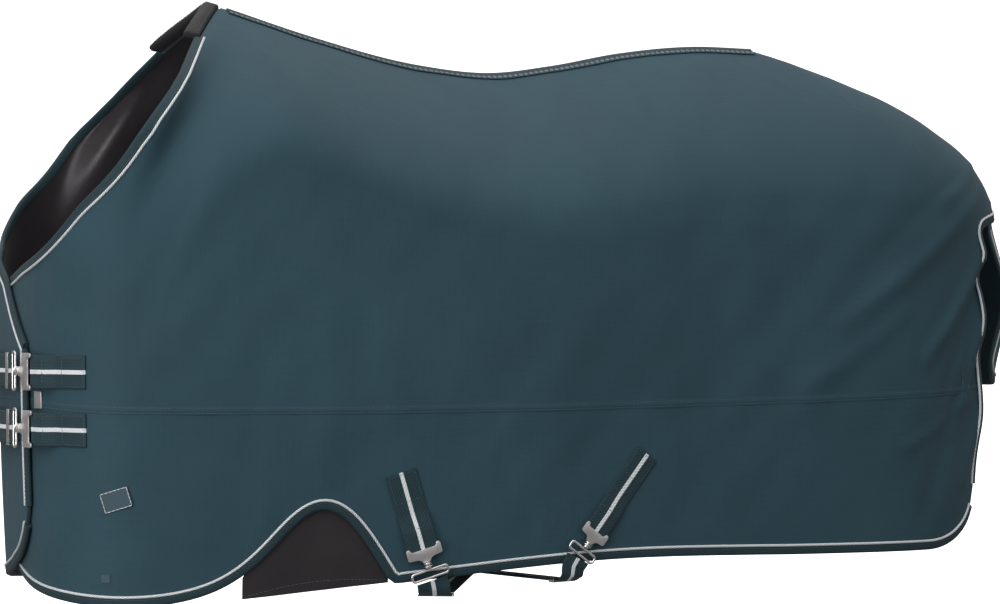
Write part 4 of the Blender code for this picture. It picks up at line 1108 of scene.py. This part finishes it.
def make_surcingles():
    """Patch straps on both sides and two straps that cross under the belly, with their fasteners."""
    clear = BINDING + STUD_RADIUS + 2 * GAP
    starts, ends = {}, {}
    for name, places in SURCINGLES.items():
        width = BELLY_WIDTHS[name]
        near = patch(f"surcingle_{name}_patch_left", places, width, "left", FLAT,
                     clear - WEBBING - PLATE / 2 - GAP)
        end, way, out = patch(f"surcingle_{name}_patch_right", places, width, "right", FLAT,
                              BINDING + 6 * GAP)
        begin = fastener(f"belly_{name}", "belly", near, width)
        starts[name] = (begin, near[1], np.cross(near[2], near[1]))
        ends[name] = (end - out * WEBBING / 2 + way * GAP * 2, way, np.cross(way, out))
    for name, other in (("front", "rear"), ("rear", "front")):
        (begin, way, first_across), (end, far_way, last_across) = starts[name], ends[other]
        inward = unit((end - begin) * IN_PLAN)
        flat_across = np.cross(UP, inward)
        first_across = first_across * np.sign(first_across @ flat_across)
        last_across = last_across * np.sign(last_across @ flat_across)
        sag = UP * BELLY_SAG[name]
        turn = (begin + way * 0.012 + inward * 0.012) * IN_PLAN + sag
        far_turn = (end + far_way * 0.06 - inward * 0.012) * IN_PLAN + sag
        controls = [(begin + way * 0.003, first_across), (begin + way * 0.009 + inward * 0.001, first_across)]
        span = np.linalg.norm(far_turn - turn)
        for d in STRAIGHT + (span * 0.35, span * 0.5, span * 0.65, span * 0.85):
            controls.append((turn + inward * d, flat_across))
        out = np.cross(last_across, far_way)
        out = out * np.sign(out[1])
        controls += [(far_turn, flat_across), (end + far_way * 0.042 + out * 0.006, last_across),
                     (end + far_way * 0.02 + out * 0.002, last_across), (end, last_across)]
        group = f"belly_{name}"
        adjuster(group, turn + inward * ADJUSTER_PLACE, inward, -UP, BELLY_WIDTHS[name])
        strap = strap_along(f"belly_strap_{name}", controls, 52, BELLY_WIDTHS[name])
        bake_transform(strap)


# ---- Labels ----------------------------------------------------------------------------
def plaque(name, place, half_x, half_y, node, border=0.0):
    """A woven label: a rounded patch with softened edges, and a raised border strip when asked."""
    thick = 0.001
    rim = rounded_box(-half_x, half_x, -half_y, half_y, min(half_x, half_y) * 0.12, 4)
    levels = [(0.0, 1.0), (thick * 0.8, 1.0), (thick, 0.98), (thick, 0.86)]
    points = np.vstack([np.c_[rim * k, np.full(len(rim), z)] for z, k in levels])
    add_solid(name, placed(points, place), tube_faces(len(levels), len(rim)), LABEL, node=node,
              uv=points[:, :2], slot="label")
    if border:
        strip = [(-0.0004, -0.0002), (0.0004, -0.0002), (0.0004, 0.00025), (-0.0004, 0.00025)]
        ring(name + "_border", rim * (1 - border), thick + 0.0001, place, strip, SILVER, slot="label")


def make_labels():
    point, along, out = surface_frame(*LABEL_PLACE)
    place = frame_at(point + out * (SHELL_OUT + 0.0004), along + UP * 0.3, out)
    plaque("woven_label", place, 0.022, 0.015, "label", border=0.06)
    point, along, out = surface_frame(*TAG_PLACE)
    plaque("woven_tag", frame_at(point + out * FLAT, along, out), 0.007, 0.006, "size_tag")


def make_rear_tacks():
    """A sewn box with a cross in it near each rear edge."""
    x, y = 0.017, 0.019
    box = [(-x, -y), (x, -y), (x, y), (-x, y), (-x, -y)]
    lines = list(zip(box, box[1:])) + [((-x, -y), (x, y)), ((-x, y), (x, -y))]
    for side in SIDES:
        point, along, out = surface_frame(*REAR_TACK_PLACE, side)
        place = frame_at(point + out * (SHELL_OUT + 0.0007), along, out)
        for k, (a, b) in enumerate(lines):
            row = placed(np.linspace((*a, 0), (*b, 0), 9), place)
            stitch_row(f"rear_tack_{side}_{k}", row, np.tile(out, (9, 1)), thread=0.0005, length=0.003,
                       pitch=0.0044)


# ---- Stage, light and camera -----------------------------------------------------------
def set_stage():
    """A white floor that curves up into a backdrop, all round and far out. It lights nothing itself."""
    bend = 1.6
    profile = [(0.01, -1.5)]
    for a in np.radians(range(0, 91, 10)):
        profile.append((4.2 + bend * math.sin(a), 0.1 - bend * math.cos(a)))
    profile.append((5.8, 6.0))
    steps = 48
    points = []
    for radius, z in profile:
        for a in np.linspace(0, 2 * math.pi, steps, endpoint=False):
            points.append((radius * math.cos(a) * 2.2, radius * math.sin(a) * 2.2, z))
    mesh = bpy.data.meshes.new("studio_sweep")
    mesh.from_pydata(points, [], grid_faces(len(profile), steps, wrap=True) + [tuple(range(steps))])
    mesh.shade_smooth()
    sweep = add_object("studio_sweep", mesh)
    white = Material("studio_white", roughness=0.9, Base_Color=(0.95, 0.95, 0.95, 1),
                     Emission_Color=(1, 1, 1, 1), Emission_Strength=1.0)
    mesh.materials.append(white.material)
    sweep.visible_diffuse = sweep.visible_glossy = sweep.visible_shadow = False


def aim(thing, place, target):
    thing.location = place
    thing.rotation_euler = (Vector(target) - Vector(place)).to_track_quat("-Z", "Y").to_euler()


def area_light(name, place, target, size, power):
    data = bpy.data.lights.new(name, "AREA")
    data.shape, data.size, data.energy = "DISK", size, power
    aim(add_object(name, data), place, target)


def set_world():
    """Soft light from all round, darker below."""
    world = bpy.data.worlds.new("studio")
    world.use_nodes = True
    nodes, links = world.node_tree.nodes, world.node_tree.links
    place, axes, ramp = (nodes.new(kind) for kind in (
        "ShaderNodeTexCoord", "ShaderNodeSeparateXYZ", "ShaderNodeValToRGB"))
    links.new(place.outputs["Generated"], axes.inputs[0])
    links.new(axes.outputs["Z"], ramp.inputs[0])
    ramp.color_ramp.elements[0].color = (0.24, 0.24, 0.24, 1)
    ramp.color_ramp.elements[1].position = 0.8
    links.new(ramp.outputs[0], nodes["Background"].inputs["Color"])
    nodes["Background"].inputs["Strength"].default_value = 0.9
    bpy.context.scene.world = world


def set_camera():
    """A long lens, level with the middle of the rug and turned a little towards its front."""
    azimuth, distance = math.radians(-18.0), 5.0
    across = Vector((math.cos(azimuth), math.sin(azimuth), 0))
    back = Vector((math.sin(azimuth), -math.cos(azimuth), 0))
    target = across * 0.0172 + Vector((0, 0, -0.366))
    data = bpy.data.cameras.new("camera")
    data.lens, data.sensor_width = 110, 36
    camera = add_object("camera", data)
    aim(camera, target + back * distance, target)
    bpy.context.scene.camera = camera


# ---- The scene -------------------------------------------------------------------------
left_half, right_half = make_cloth("left"), make_cloth("right")
for each in SIDES:
    make_gusset(each)
make_wither_pad(left_half, right_half)
make_spine_tape(left_half, right_half)
make_tail_flap()
make_chest()
make_surcingles()
make_labels()
make_rear_tacks()

set_stage()
area_light("key", (-2.6, -3.3, 1.9), (-0.3, 0, -0.3), 3.6, 66)
area_light("top", (-0.2, -0.6, 3.2), (0, 0, 0), 3.2, 26)
area_light("front", (-3.4, -2.4, -0.7), (-0.8, -0.3, -0.5), 1.4, 40)
area_light("fill", (2.6, -3.4, 0.4), (0.2, 0, -0.4), 3.0, 2)
set_world()
set_camera()
bpy.context.scene.view_settings.view_transform = "Standard"
